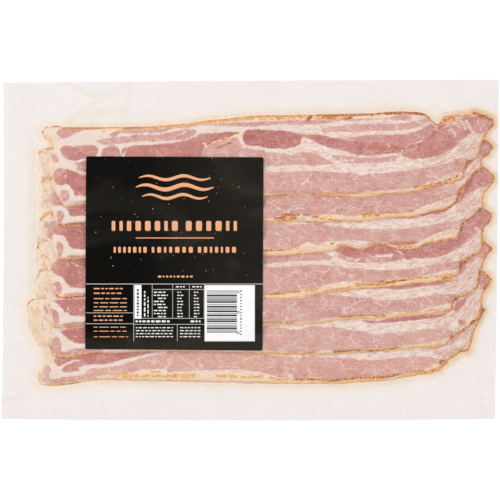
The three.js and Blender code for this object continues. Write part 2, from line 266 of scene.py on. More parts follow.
    smoke(0.9, 0.6, (57, 79), (59.6, 79.2), (61, 79.8)),
    smoke(1, 0.5, (71, 81.4), (73.4, 81.2)),
    smoke(1, 0.5, (82, 81.6), (86, 82), (90, 81.8)),
    smoke(1, 0.4, (95, 82.2), (104, 81.4)),
    smoke(0.7, 0.4, (104, 81.6), (108, 79.4), (110.6, 76.6), (113, 74.8)),
    smoke(0.5, 1.6, (114.8, 75.4), (116, 77.4), (118.4, 78.6), (122.4, 79)),
    smoke(0.6, 0.4, (113, 74.8), (113.6, 72.6)),
    smoke(0.9, 0.5, (134.4, 82.4), (138, 80.8), (142, 79.8), (146, 78.4)),
    smoke(0.55, 0.4, (146.6, 77.6), (146, 74.8), (143.4, 71.4), (140.6, 68)),
    smoke(0.55, 0.4, (137.4, 57.6), (138, 61), (139.6, 65.6)),
    smoke(0.7, 0.5, (128.2, 47), (130.4, 50), (131.4, 52.4), (134.4, 54), (137, 55.6)),
    smoke(0.6, 0.8, (130.4, 53.6), (131.4, 51.6)),
    smoke(0.6, 0.3, (8, 31.8), (14, 32.6), (22, 32.9)),
    smoke(0.5, 0.25, (36, 32.8), (44, 33.2), (52, 34), (68, 33.4), (78, 34.8)),
    smoke(0.45, 0.2, (40, 32.7), (58, 32.4)),
    smoke(0.5, 0.25, (86, 34.2), (94, 34.5), (102, 36.2), (120, 40.6)),
    smoke(0.55, 0.35, (98, 37.4), (114, 40.4), (122, 43), (125, 44.6)),
    cream(0.9, 1.4, (8, 32.4), (17, 32.6)),
    cream(0.9, 0.7, (46, 33.2), (54, 32.9), (66, 32.4), (72, 33.2), (78, 33.8)),
    cream(0.45, 1, (80, 34.6), (92, 35), (110, 39), (118, 41), (124, 43)),
    cream(0.5, 3.5, (-122, 70), (-120, 64), (-119, 58), (-119.6, 52), (-119, 46)),
]
RIND_2 = [
    (-115.2, 14.4), (-108, 14.3), (-98, 15.2), (-36, 15.6), (8, 16.2), (20, 16.8), (32, 16.6), (44, 16.2),
    (52, 17), (62, 16.9), (69, 17), (76, 18.2), (84, 19.2), (96, 19.6), (102, 20.9), (110, 23), (117, 24.3),
    (121, 25.8), (123.4, 27.6),
]
UPPER_2 = [
    (-118, 60.8), (-60, 62), (0, 64), (60, 67), (110, 69), (141.4, 66.2),
]
LEFT_2 = [
    (-115.2, 14.4), (-117.5, 18.5), (-119.5, 25), (-121.5, 33), (-124, 41), (-126.6, 49), (-127.4, 55),
    (-126, 59), (-123, 60.6), (-118, 60.8),
]
RIGHT_2 = [
    (123.4, 27.6), (124.6, 29.4), (126.2, 33), (128.4, 36.6), (131, 40), (134, 44), (136.8, 46.8),
    (138.8, 48.4), (138.6, 51.4), (139.4, 54.8), (142, 56.8), (144.6, 59.2), (145.2, 61.4), (143.9, 63.8),
    (141.4, 66.2),
]
MARBLING_2 = [
    muscle(0.4, (-121, 31.5), (-119.4, 34.5), (-116.6, 35), (-114, 31), (-113, 28.4), (-114, 26.8),
        (-117.6, 27)),
    muscle(0.7, (-116, 37), (-98, 40), (-88, 38), (-88, 19.7), (-98, 19.7), (-101, 20.3), (-104, 20.1),
        (-107, 20), (-110, 25), (-112.5, 26.5), (-115, 27), (-114, 31)),
    muscle(0.35, (-115.8, 21.5), (-115.6, 23.4), (-114.2, 24.1), (-111.4, 21.6), (-111.2, 19.5),
        (-112.4, 17.4), (-113.2, 15.8), (-115.2, 15.8), (-115.4, 18.6)),
    muscle(0.3, (-112.6, 15.6), (-108, 16.4), (-98, 16.9), (-88, 17.2), (-88, 15.8), (-98, 15.8),
        (-108, 15.2)),
    muscle(0.26, (-4, 42), (60, 44), (100, 42), (112, 40), (118, 38.4), (124, 38.2), (127, 36.8),
        (126.2, 34), (120, 31.7), (108, 27.6), (104, 26.4), (100, 24.4), (96, 23), (90, 22.2), (76, 21.8),
        (70, 21), (66, 20.7), (62, 20.2), (50, 21.3), (46, 21.3), (36, 20.3), (31, 21.4), (20, 21),
        (14, 19.5), (8, 18.3), (-4, 18)),
    muscle(0.5, (137.3, 57), (138, 60), (139.5, 63.8), (141.6, 65.4), (143.8, 63.6), (144.8, 61.3),
        (144.2, 59.4), (142, 57.8)),
    muscle(0.3, (129, 38), (131, 41), (134.4, 46), (137, 47.6), (134, 42.6), (130.6, 38.4)),
    fat(0.22, (14, 26.6), (22, 27.4), (31, 28.6), (32.6, 27)),
    fat(0.18, (13, 25.2), (24, 24.6), (34, 25.2)),
    fat(0.16, (55, 28), (63, 25.4), (68, 24.8)),
    fat(0.3, (127.6, 44), (126.4, 41.6), (124, 40.4)),
    smoke(0.8, 0.5, (-114.6, 14.8), (-110, 14.9), (-104, 15.5), (-88, 15.6)),
    smoke(1, 0.25, (-110.4, 14.4), (-109.4, 14.4)),
    smoke(0.35, 0.4, (8, 17.4), (12, 17), (16, 17.6)),
    smoke(0.95, 0.55, (19.6, 20.5), (24, 21), (29, 21)),
    smoke(0.9, 0.4, (15, 19.2), (18, 19), (20, 20.2)),
    smoke(0.55, 1.2, (18, 18.6), (22, 18.7), (27, 19.4)),
    smoke(0.5, 0.4, (16, 17.6), (25, 18)),
    smoke(0.75, 0.25, (32, 20.9), (40, 19.6), (43, 18.8)),
    smoke(0.6, 0.22, (44, 18.5), (56, 17.4), (62, 16.9), (69, 17.1)),
    smoke(0.55, 0.25, (27, 15.4), (34, 16.8), (45, 16.2)),
    smoke(0.4, 0.8, (68, 20.4), (72, 21), (75, 20.8)),
    smoke(0.45, 0.3, (74, 21.6), (86, 22.2), (92, 22.3), (98, 23.2)),
    smoke(0.55, 0.3, (75, 20.4), (77.4, 20.8)),
    smoke(0.6, 0.3, (88, 19.5), (92, 19.6), (97, 19.6), (102, 20.9), (110, 22.9), (117, 24.3), (121, 25.8),
        (123.4, 27.8)),
    smoke(0.9, 0.3, (119, 25.2), (122.6, 27.4), (125.8, 33)),
    smoke(0.6, 0.4, (126.4, 36.4), (127.2, 36.2)),
    smoke(0.6, 0.6, (125, 33.6), (127.4, 36.6), (129, 38), (131, 41), (133.2, 44), (138, 48.4)),
    smoke(0.5, 0.35, (138.6, 48.4), (138.4, 51.4), (139, 54.4)),
    smoke(1, 0.5, (138.8, 47.6), (139.4, 47)),
    smoke(0.55, 0.35, (139.6, 55.2), (144.5, 59.4), (145, 61.4), (141.4, 65.8)),
    smoke(0.45, 0.7, (-126.4, 58.6), (-124.4, 60), (-121.5, 60.3), (-118.4, 60.4)),
    smoke(0.2, 1, (-121, 31), (-119.4, 28), (-117.6, 27)),
    cream(1, 1, (8, 17), (14, 17.6), (20, 17.8), (27, 18.6)),
    cream(1, 1.5, (43, 19.6), (56, 18.9), (70, 18.8), (76, 19.8)),
    cream(0.75, 1.2, (76, 20.4), (84, 21), (92, 21.2), (102, 22.6)),
    cream(0.5, 1.6, (102, 23), (110, 24.6), (117, 26), (122, 27.8)),
    cream(0.6, 2.4, (-121, 27), (-120, 31), (-122, 36), (-123, 42)),
]
RIND_3 = [
    (-115.5, -6), (-110, -6.2), (-98, -5.6), (-36, -3.6), (8, -3.9), (18, -3.7), (24, -3.4), (30, -2.8),
    (38, -2), (45, -1.5), (50, -0.3), (53, 1), (56.6, 2.4), (60, 1.6), (64, 0.5), (68, 0.4), (72, 2.2),
    (76, 3.2), (82, 2.8), (86, 1), (89, 0), (96, 0), (100, 0.7), (104, 2.8), (110, 4.3), (114, 5),
    (120, 6.3), (124.2, 7),
]
UPPER_3 = [
    (-118.5, 43.4), (-60, 44.6), (0, 47), (60, 49.5), (110, 52), (139.6, 49.6),
]
LEFT_3 = [
    (-115.5, -6), (-118, -2), (-120.5, 4), (-123, 9), (-125.8, 16), (-126.2, 22), (-126.4, 29),
    (-126.8, 35), (-126, 40.5), (-123, 43), (-118.5, 43.4),
]
RIGHT_3 = [
    (124.2, 7), (126, 10.2), (127.2, 13.6), (128.8, 16.6), (132, 18.6), (135, 22), (137.6, 24.2),
    (139.6, 26), (139.8, 29.6), (140.8, 33.6), (143, 37), (145.8, 40.2), (146.5, 43.4), (145.4, 46.4),
    (142.4, 48.6), (139.6, 49.6),
]
MARBLING_3 = [
    muscle(0.34, (-117.4, 17.8), (-119.6, 17), (-122, 17), (-123.6, 14.6), (-124.6, 11.6), (-124, 9.6),
        (-120, 7.4), (-118.4, 8.8), (-116.6, 10), (-115.6, 13.6), (-115.8, 17)),
    fat(0.4, (-124.4, 12), (-122.6, 12), (-121.4, 13)),
    fat(0.25, (-119.6, 13.6), (-119, 12.6)),
    fat(0.2, (-120.8, 16), (-120, 15.6)),
    muscle(0.78, (-117.2, 13.6), (-115.4, 14.4), (-112, 14.2), (-98, 14.9), (-88, 15), (-88, 0.4),
        (-98, 0.3), (-101, 0.2), (-103, 0.8), (-106, 0.7), (-109.5, 5), (-111, 7.8), (-113, 8.7),
        (-115.4, 9), (-117.2, 10)),
    fat(0.22, (-101.8, 2.4), (-101.6, 2)),
    muscle(0.34, (-116.2, 2.6), (-115.7, 4.4), (-114.3, 5.3), (-112.6, 4), (-112.4, -3), (-113.6, -4.6),
        (-114.8, -4.2), (-115.2, -1.6), (-115.6, 0.8)),
    muscle(0.42, (-112.8, -5), (-110, -3.8), (-98, -3), (-88, -3), (-88, -4.3), (-98, -4.4), (-106, -4.8)),
    muscle(0.2, (-4, 15.6), (8, 15.4), (14, 16.4), (28, 15.3), (34, 15.7), (40, 15.7), (50, 14.3),
        (76, 12.6), (84, 12.4), (112, 15.8), (126, 18), (128.4, 18.4), (127.4, 15.6), (126, 12.9),
        (120, 12), (104, 6.6), (100, 4.2), (92, 2), (84, 3.4), (80, 4), (74, 4.3), (66, 5.6), (52, 5.4),
        (46, 5), (42.6, 3.6), (40.6, 2.8), (37.4, 4), (34, 4.5), (31, 3), (28, 1.7), (22, 0.9), (8, 0.2),
        (-4, 0)),
    fat(0.3, (14.6, 10), (17, 10.2)),
    fat(0.25, (32.6, 11.2), (33.8, 10.3), (35.4, 10)),
    fat(0.14, (22.4, 13.6), (24.4, 11.4), (23.4, 7.6), (24, 4)),
    fat(0.14, (49.6, 14.4), (56, 12)),
    fat(0.14, (62, 13.4), (60.4, 10.6), (63, 8.6), (68, 6.4)),
    fat(0.14, (14, 6), (22, 7), (34, 7)),
    fat(0.3, (120, 17.6), (121.6, 16.6), (123, 17)),
    muscle(0.78, (87, 19.6), (91, 20.2), (97, 20.2), (106, 23), (112, 24), (120, 25.6), (118, 23.6),
        (114.4, 22.2), (103, 20.2), (98, 19.2), (92, 19), (88, 19.1)),
    muscle(0.3, (128, 31), (130, 33.6), (131.2, 33.2), (129.6, 31)),
    muscle(0.5, (124.6, 28.4), (125.6, 31), (128.6, 36.8), (130.6, 39.4), (135.6, 45.8), (138.6, 48.4),
        (141.2, 48.6), (144.3, 46.2), (146, 43.4), (145.2, 40.8), (142.8, 38.8), (133, 35.2), (127.4, 30)),
    muscle(0.9, (125, 29), (127, 33.4), (131.4, 40.2), (134.4, 44), (135, 42), (132, 38), (129, 34),
        (126.6, 30.4)),
    fat(0.35, (127.8, 34.4), (129.2, 33.4), (129.8, 31.8)),
    fat(0.25, (130, 35.2), (131, 34.4), (131.4, 33.4)),
    smoke(0.75, 0.45, (-114.8, -5.9), (-88, -5)),
    smoke(1, 0.3, (-108, -5.6), (-107.6, -5.6)),
    smoke(1, 0.3, (-105.6, -5.6), (-105.2, -5.6)),
    smoke(1, 0.25, (-114, -6), (-112.8, -6.4)),
    smoke(0.6, 0.4, (-119, 9.2), (-119.4, 8), (-121.4, 7.4)),
    smoke(0.85, 0.35, (-120, 7.6), (-119, 7.8), (-118.9, 6.6)),
    smoke(0.3, 0.9, (-124.9, 12), (-126.4, 6)),
    smoke(0.2, 0.9, (-125.8, 15.4), (-125, 13.2), (-123, 12.6)),
    smoke(0.75, 0.25, (8, -0.4), (24, 0.6), (30, 1.2)),
    smoke(0.6, 0.28, (8, -3.7), (26, -3.2), (32, -2.4), (40, -1.9)),
    smoke(0.8, 0.45, (48.4, 3.9), (50, 3.8)),
    smoke(0.5, 0.35, (52, 2.6), (56, 3), (58.6, 2.6)),
    smoke(0.4, 0.8, (70.6, 3.2), (72.4, 3.6), (75, 3.4)),
    smoke(0.6, 0.3, (73, 3.2), (76, 3.6), (81.6, 3.2)),
    smoke(0.3, 0.9, (84, 4.2), (95, 4.2), (99, 5)),
    smoke(0.5, 0.35, (88, 1.7), (93, 1.6), (99, 2.4)),
    smoke(0.6, 0.35, (89, 0.2), (100, 0.9), (104, 3), (114, 5.2), (124, 7.2)),
    smoke(0.8, 0.35, (124.2, 7.4), (126, 10.4), (127.2, 13.6), (128.4, 16)),
    smoke(0.6, 0.9, (127.6, 14.6), (128.6, 16.2)),
    smoke(0.65, 0.7, (129, 17.2), (132, 18.4), (136.6, 23.4), (138.8, 25)),
    smoke(0.4, 0.4, (139.6, 26.4), (139.8, 29.6), (140.8, 33.4), (142.6, 36.4)),
    smoke(0.6, 0.3, (143.6, 38), (145.8, 40.4), (146.4, 43.4), (145.3, 46.2), (140, 49.4)),
    smoke(0.55, 1, (-125.4, 42), (-120, 43)),
    cream(1, 1.5, (8, -2), (24, -1.6), (38, 0.2), (45, 0.4)),
    cream(0.55, 1.2, (32, 1.8), (40, 1.6), (53, 2.4)),
    cream(0.5, 0.9, (80, 3.9), (88, 2), (99, 1.9), (103, 3.8)),
    cream(0.3, 1.4, (104, 5), (118, 8.4), (124, 9.4)),
    cream(0.5, 2, (-125.6, 20), (-124.6, 36)),
]
RIND_4 = [
    (-115.8, -28.8), (-110, -29), (-98, -28.2), (-36, -28.8), (8, -29), (16, -28.9), (24, -28.9),
    (30, -28.4), (36, -27.2), (44, -26.2), (50, -25.4), (58, -24.4), (66, -23.2), (74, -22.6), (82, -22),
    (88, -21.7), (94, -21), (100, -19.9), (106, -19.8), (112, -19.2), (119, -18), (122.6, -16.4),
]
UPPER_4 = [
    (-118.5, 22.8), (-60, 24), (0, 26), (60, 28.4), (110, 29.6), (138.6, 25.6),
]
LEFT_4 = [
    (-115.8, -28.8), (-118.5, -24), (-120.5, -17), (-122, -10), (-124, -4), (-126, 2), (-126.8, 8),
    (-126.5, 14), (-125.4, 18), (-122.5, 21.5), (-118.5, 22.8),
]
RIGHT_4 = [
    (122.6, -16.4), (124.4, -14.2), (125.4, -12), (126.4, -9), (129.5, -6.6), (134, -4), (138, -1.2),
    (139.4, 2), (139.2, 6), (139.8, 11), (141.6, 14.4), (144.4, 17.4), (145.6, 20), (144.4, 22.4),
    (141.2, 24.4), (138.6, 25.6),
]
MARBLING_4 = [
    muscle(0.42, (-119.6, -9.8), (-117.6, -7.4), (-115.6, -6.4), (-112.6, -7), (-114, -13.8), (-117, -14.2),
        (-118.6, -12.4)),
    muscle(0.76, (-116.4, -8), (-114, -6.2), (-98, -5.6), (-88, -5), (-88, -23), (-98, -22.9),
        (-104, -22.7), (-107, -22.3), (-109.4, -20.5), (-112.6, -16.2), (-115.2, -15.2), (-117.2, -13.6)),
    fat(0.22, (-109.2, -8.6), (-108.9, -8)),
    fat(0.3, (-107.2, -7.2), (-105, -8.8), (-100.4, -10.4)),
    fat(0.16, (-104, -22), (-101.6, -20.6), (-98.4, -20)),
    fat(0.14, (-103.4, -21), (-101, -22)),
    muscle(0.34, (-118.6, -21), (-115.4, -18.7), (-113.4, -20), (-112.4, -22.4), (-113.8, -26.8),
        (-115.6, -28), (-116.8, -27.4), (-117.4, -25.4), (-116.4, -22)),
    muscle(0.36, (-113.6, -27.2), (-110, -26.2), (-98, -25.3), (-88, -25), (-88, -26.6), (-98, -27),
        (-110, -28)),
    muscle(0.24, (-4, -3.6), (8, -3.6), (30, -2.6), (44, -1.4), (47, -2.6), (49.6, -4.8), (44, -6),
        (36, -6.5), (26, -7), (8, -8.1), (-4, -8.2)),
    muscle(0.72, (50.4, -0.6), (53.6, 1.3), (56.6, 3), (60, 2), (68.6, 0.9), (72, 2.8), (76, 3.4),
        (86, 1.2), (87, 0), (84, -0.7), (80, -2), (74, -3.2), (68, -4.2), (54, -2.4)),
    fat(0.2, (50.6, -0.4), (53.6, -2.6), (57, -4)),
    muscle(0.66, (91, -0.2), (97, 0.2), (101, 1.6), (104, 3.2), (108, 4), (114, 5.2), (119, 6.4), (124, 7),
        (126.6, 5.6), (124, 3), (115, -1), (98, -4.9), (93.4, -5.6), (91.6, -4), (90, -1.8)),
    muscle(0.5, (87.4, -1.4), (90, -2), (91, -4), (90.4, -5.6), (86, -5.6), (84.2, -4.6), (85.4, -2.8)),
    fat(0.22, (83.2, -6), (85, -3.4), (87.4, -0.6)),
    fat(0.22, (88, -0.6), (90.6, -1.2), (92.6, -4), (92, -6)),
    muscle(0.27, (-4, -10.2), (8, -10.2), (24, -9.8), (32, -9), (54, -10), (60, -10.8), (68, -11.3),
        (92, -11.8), (110, -8.7), (122, -6.8), (125.6, -6.6), (126.4, -8.6), (124.6, -11), (118, -12),
        (112, -13), (104, -15.6), (98, -16.3), (86, -17.6), (74, -19), (68, -19.4), (65.4, -18.6),
        (60, -18.9), (49, -20), (42.8, -21.9), (41, -23.2), (37, -23.8), (33.4, -23.6), (31.6, -23.2),
        (28, -24.5), (14, -26.6), (8, -27.1), (-4, -27)),
    fat(0.16, (32, -23), (33.4, -21.4), (40, -20)),
    fat(0.28, (13, -16), (15.4, -16.4)),
    fat(0.14, (22.6, -15.6), (25, -14), (30, -13.2), (34, -14.4)),
    fat(0.16, (56, -13.4), (63, -16.8)),
    fat(0.14, (49, -9.6), (52, -10.8), (54, -12.6)),
    muscle(0.62, (125, 7.2), (126.2, 10), (127.6, 13.4), (129, 16.2), (132, 18.4), (135, 21.6), (138, 24.2),
        (144.2, 21.8), (145.2, 19.8), (144, 17.6), (141.8, 15.6), (138, 14.6), (134, 13.6), (131, 11.8),
        (129, 9.6), (127.2, 7.4)),
    fat(0.16, (126, 15.8), (128, 15.6), (129.4, 16.2)),
    smoke(0.95, 0.5, (-115.4, -27.6), (-114.5, -28.5), (-110, -28.6), (-98, -27.7), (-88, -27.7)),
    smoke(0.6, 0.3, (12, -26.8), (20, -26.1), (30, -24.6)),
    smoke(0.5, 0.3, (31, -23.6), (37, -24.2), (41.6, -23.4)),
    smoke(0.4, 0.5, (44, -24.6), (60, -22.4)),
    smoke(0.35, 0.3, (8, -28.8), (24, -28.7), (44, -26)),
    smoke(0.4, 0.3, (54, -24.8), (58, -24), (66, -23.2)),
    smoke(0.42, 1.2, (64, -20.6), (76, -20.3), (81, -19.6)),
    smoke(0.8, 0.5, (79, -18.8), (84, -19.4), (87, -18.6)),
    smoke(1, 0.3, (86.4, -18.4), (93.4, -17.8)),
    smoke(0.65, 0.3, (93.6, -17.5), (106, -16.6)),
    smoke(0.5, 0.35, (84, -19), (87, -20.6)),
    smoke(0.5, 0.3, (111, -15.9), (115, -14.9), (120, -14.6)),
    smoke(0.5, 0.6, (115.6, -17.2), (118, -16.6), (121.6, -16.2)),
    smoke(0.5, 0.25, (84, -21.7), (88, -21.4)),
    smoke(0.55, 0.25, (96, -20), (106, -19.6), (114, -18.6), (119, -17.8), (122.4, -16)),
    smoke(0.8, 0.9, (125.8, -11), (126.8, -7.4)),
    smoke(0.75, 0.6, (127, -7), (131, -5.4), (135, -3.4)),
    smoke(0.7, 0.3, (135, -3.6), (138, -1.4), (139.2, 1.6)),
    smoke(0.5, 0.3, (139.2, 2.4), (139.6, 11), (141.4, 14.4)),
    smoke(0.65, 0.3, (141.6, 15), (144.2, 17.6), (145.4, 20), (144.3, 22.2), (141, 24.2)),
    smoke(0.75, 0.6, (-125.2, 18.4), (-123.6, 20.6), (-121.4, 21.4)),
    smoke(0.65, 0.6, (-121, 21.6), (-119.4, 22.6), (-117.8, 21.4), (-118, 19.4)),
    smoke(0.3, 0.5, (-125.4, 17.6), (-124.6, 16)),
    smoke(0.3, 0.4, (-122.4, -20.4), (-121, -22)),
    smoke(0.45, 0.3, (-120, -18.6), (-118.4, -20.6)),
    smoke(0.3, 0.9, (-118.6, -12.4), (-117.8, -10.4)),
    cream(1, 1.4, (8, -28), (24, -27.2), (47, -23.8)),
    cream(0.9, 1.2, (47, -22.6), (54, -22.4), (60, -21.6), (66, -21)),
    cream(0.9, 1.3, (62, -22.2), (78, -20.6), (86, -20.4)),
    cream(0.9, 1, (86, -20.4), (99, -18.4), (114, -17.2), (121, -16)),
    cream(0.6, 2, (-120, -12), (-119, -8), (-121, -4)),
    cream(0.5, 2.6, (-124, -1), (-125.4, 5), (-125.4, 12)),
]
RIND_5 = [
    (-117.6, -46.8), (-112, -47), (-98, -45.8), (-36, -44.4), (8, -45.2), (20, -45.2), (28, -44.8),
    (36, -44.4), (44, -43.4), (52, -42.2), (60, -41.4), (70, -41), (78, -41), (84, -41), (92, -40.2),
    (100, -39.4), (108, -38.6), (114, -38), (118, -37.2), (121, -35.4),
]
UPPER_5 = [
    (-121, 5.6), (-60, 5.5), (0, 6.6), (60, 8.6), (110, 9.6), (138.4, 6),
]
LEFT_5 = [
    (-117.6, -46.8), (-120, -41), (-122, -34), (-124, -26), (-126, -17), (-127.8, -9), (-128.2, -2),
    (-127.2, 2.4), (-125, 5.2), (-121, 5.6),
]
RIGHT_5 = [
    (121, -35.4), (122, -32.4), (123.2, -29.6), (126, -28.2), (130, -26.6), (134, -24.6), (136.8, -22),
    (137.4, -17), (138.2, -13), (139.2, -9.4), (141.4, -5), (143.2, -1.8), (145.1, 0.4), (143.4, 2.8),
    (140.6, 5), (138.4, 6),
]
MARBLING_5 = [
    muscle(0.72, (-118.4, -30.4), (-115, -29.8), (-98, -29), (-88, -29), (-88, -40), (-98, -39.9),
        (-106, -39.3), (-108, -38.8), (-109, -37.6), (-110.4, -38), (-112, -35.6), (-116, -32)),
    fat(0.16, (-110.2, -37.6), (-108.4, -34.4)),
    fat(0.18, (-108.6, -38.2), (-106.6, -35.9), (-103, -35.9), (-99, -34.4)),
    muscle(0.35, (-119.8, -37.2), (-118.6, -35.4), (-117, -35.3), (-115.1, -36.8), (-114.3, -43),
        (-115, -45.4), (-116.4, -46.6), (-117.6, -45.4), (-118.2, -42), (-118.4, -39)),
    muscle(0.36, (-114.6, -45), (-113, -44.4), (-98, -42.5), (-88, -42.4), (-88, -44.6), (-98, -44.8),
        (-104, -45.4), (-110, -46.2)),
    muscle(0.4, (-121.2, -31.4), (-119.6, -33.6), (-119.2, -37), (-121.6, -38.4), (-124.6, -35.4),
        (-122.6, -33.4)),
    muscle(0.26, (-4, -29.8), (8, -29.5), (16, -29.1), (32, -28.5), (38, -27.1), (52, -27), (56, -27.6),
        (68, -28.5), (84, -29.9), (114, -26.6), (120, -26.3), (124, -27), (122, -31.4), (117, -32),
        (112, -33.4), (106, -34.9), (100, -36.6), (90, -37.3), (84, -37.4), (80, -38.3), (70, -38.5),
        (64, -38.8), (56, -40.3), (50, -40.8), (44, -41), (37, -43.1), (32, -42.8), (30, -42.5),
        (28.4, -43.3), (24, -44.1), (18, -43.6), (8, -43.4), (-4, -43)),
    fat(0.14, (28, -43), (26, -40), (27, -36.6), (30, -34.6)),
    fat(0.14, (60, -30), (58, -33), (59.4, -36)),
    muscle(0.66, (78, -22.2), (84, -22), (92, -21.2), (98, -20), (106, -20), (119, -18.2), (122, -18),
        (117, -20.2), (103, -21.8), (97, -23), (84, -23.6)),
    muscle(0.5, (125.2, -14), (126.2, -11.4), (127.8, -9.8), (129.2, -9.6), (129.4, -11), (128, -13),
        (126.4, -14.6)),
    muscle(0.46, (139.1, 3.8), (138.8, 0.4), (138.2, -1.2), (139.6, -2.8), (141.4, -4.2), (143, -1.6),
        (144.6, 0.4), (142.8, 2.6), (140.4, 4.4)),
    muscle(0.25, (130, -6.6), (134, -4.6), (137.6, -2), (138.4, -3.4), (135, -6), (131, -8)),
    smoke(0.6, 0.4, (-117, -46.6), (-115, -46.8), (-110, -46.4), (-98, -45.3), (-88, -45.2)),
    smoke(0.55, 0.3, (8, -43.8), (26, -44)),
    smoke(0.6, 0.4, (54, -40.6), (66, -39.3), (80, -39.6)),
    smoke(0.4, 0.4, (80, -39.4), (84, -38.4), (90, -38.8), (96, -38), (102, -37.4)),
    smoke(0.35, 0.4, (104, -36.8), (110, -36), (116, -36.6), (120, -35.4)),
    smoke(0.5, 0.25, (84, -40.8), (100, -39.3), (114, -37.8), (118, -37), (121, -35.2)),
    smoke(0.8, 0.4, (121.3, -35), (122.2, -32), (123.2, -29.8)),
    smoke(0.6, 0.7, (122.4, -30), (123.6, -28.8)),
    smoke(0.55, 0.4, (124, -28.4), (132, -25.6), (135.8, -23)),
    smoke(0.8, 0.35, (136.9, -22), (137.4, -17), (139, -9.8)),
    smoke(0.5, 0.4, (139.4, -9), (141.4, -5.2)),
    smoke(0.65, 0.3, (141.6, -4.6), (143.4, -1.8), (145, 0.4), (143.2, 2.7), (140.4, 4.8)),
    smoke(0.8, 0.55, (-127, 1), (-126.7, 3), (-125.2, 4.8)),
    smoke(0.85, 0.5, (-124.6, 5.1), (-122.8, 5.3)),
    smoke(0.3, 0.35, (-122.4, 5), (-120.4, 3.4)),
    smoke(0.4, 0.4, (-124.3, -3), (-123, -4.2)),
    smoke(0.55, 0.5, (-121.6, -4.9), (-120, -5.8)),
    smoke(0.5, 0.4, (-117.2, -3.9), (-115.8, -3.8)),
    smoke(0.2, 0.9, (-127.4, 0), (-127, 4)),
    cream(0.8, 0.8, (8, -44.6), (20, -44.6), (28, -44.1), (36, -43.7), (44, -42.3), (52, -41.4)),
    cream(0.85, 0.8, (76, -40.2), (82, -40), (88, -39.2), (112, -37), (119, -36)),
    cream(0.4, 1.4, (104, -36), (112, -34.8), (119, -33.4)),
    cream(0.4, 3, (-125.4, -14), (-126, -7), (-125.6, 0)),
]
RIND_6 = [
    (-117.6, -64.2), (-112, -64.8), (-98, -63), (-36, -60.8), (8, -62), (20, -62.8), (30, -62.8),
    (40, -62.6), (50, -62.4), (60, -62), (70, -61.2), (80, -60.8), (90, -59.9), (100, -59), (108, -58.6),
    (113, -58.4), (118, -57),
]
UPPER_6 = [
    (-119, -11.4), (-60, -11.6), (0, -11), (60, -9.5), (110, -9), (138, -12.4),
]
LEFT_6 = [
    (-117.6, -64.2), (-120.5, -58), (-122.5, -50), (-124.5, -41), (-127, -32), (-128.6, -24), (-128.2, -17),
    (-126.8, -13.6), (-124, -12.4), (-119, -11.4),
]
RIGHT_6 = [
    (118, -57), (119.8, -54.4), (121.8, -51.8), (124.6, -50), (128.6, -48), (132.6, -45.4), (136, -42.4),
    (138.2, -39.8), (139, -36), (139.4, -31), (140.4, -26.6), (142.6, -23), (144, -20), (145, -17.6),
    (143.4, -15.4), (140.4, -13.2), (138, -12.4),
]
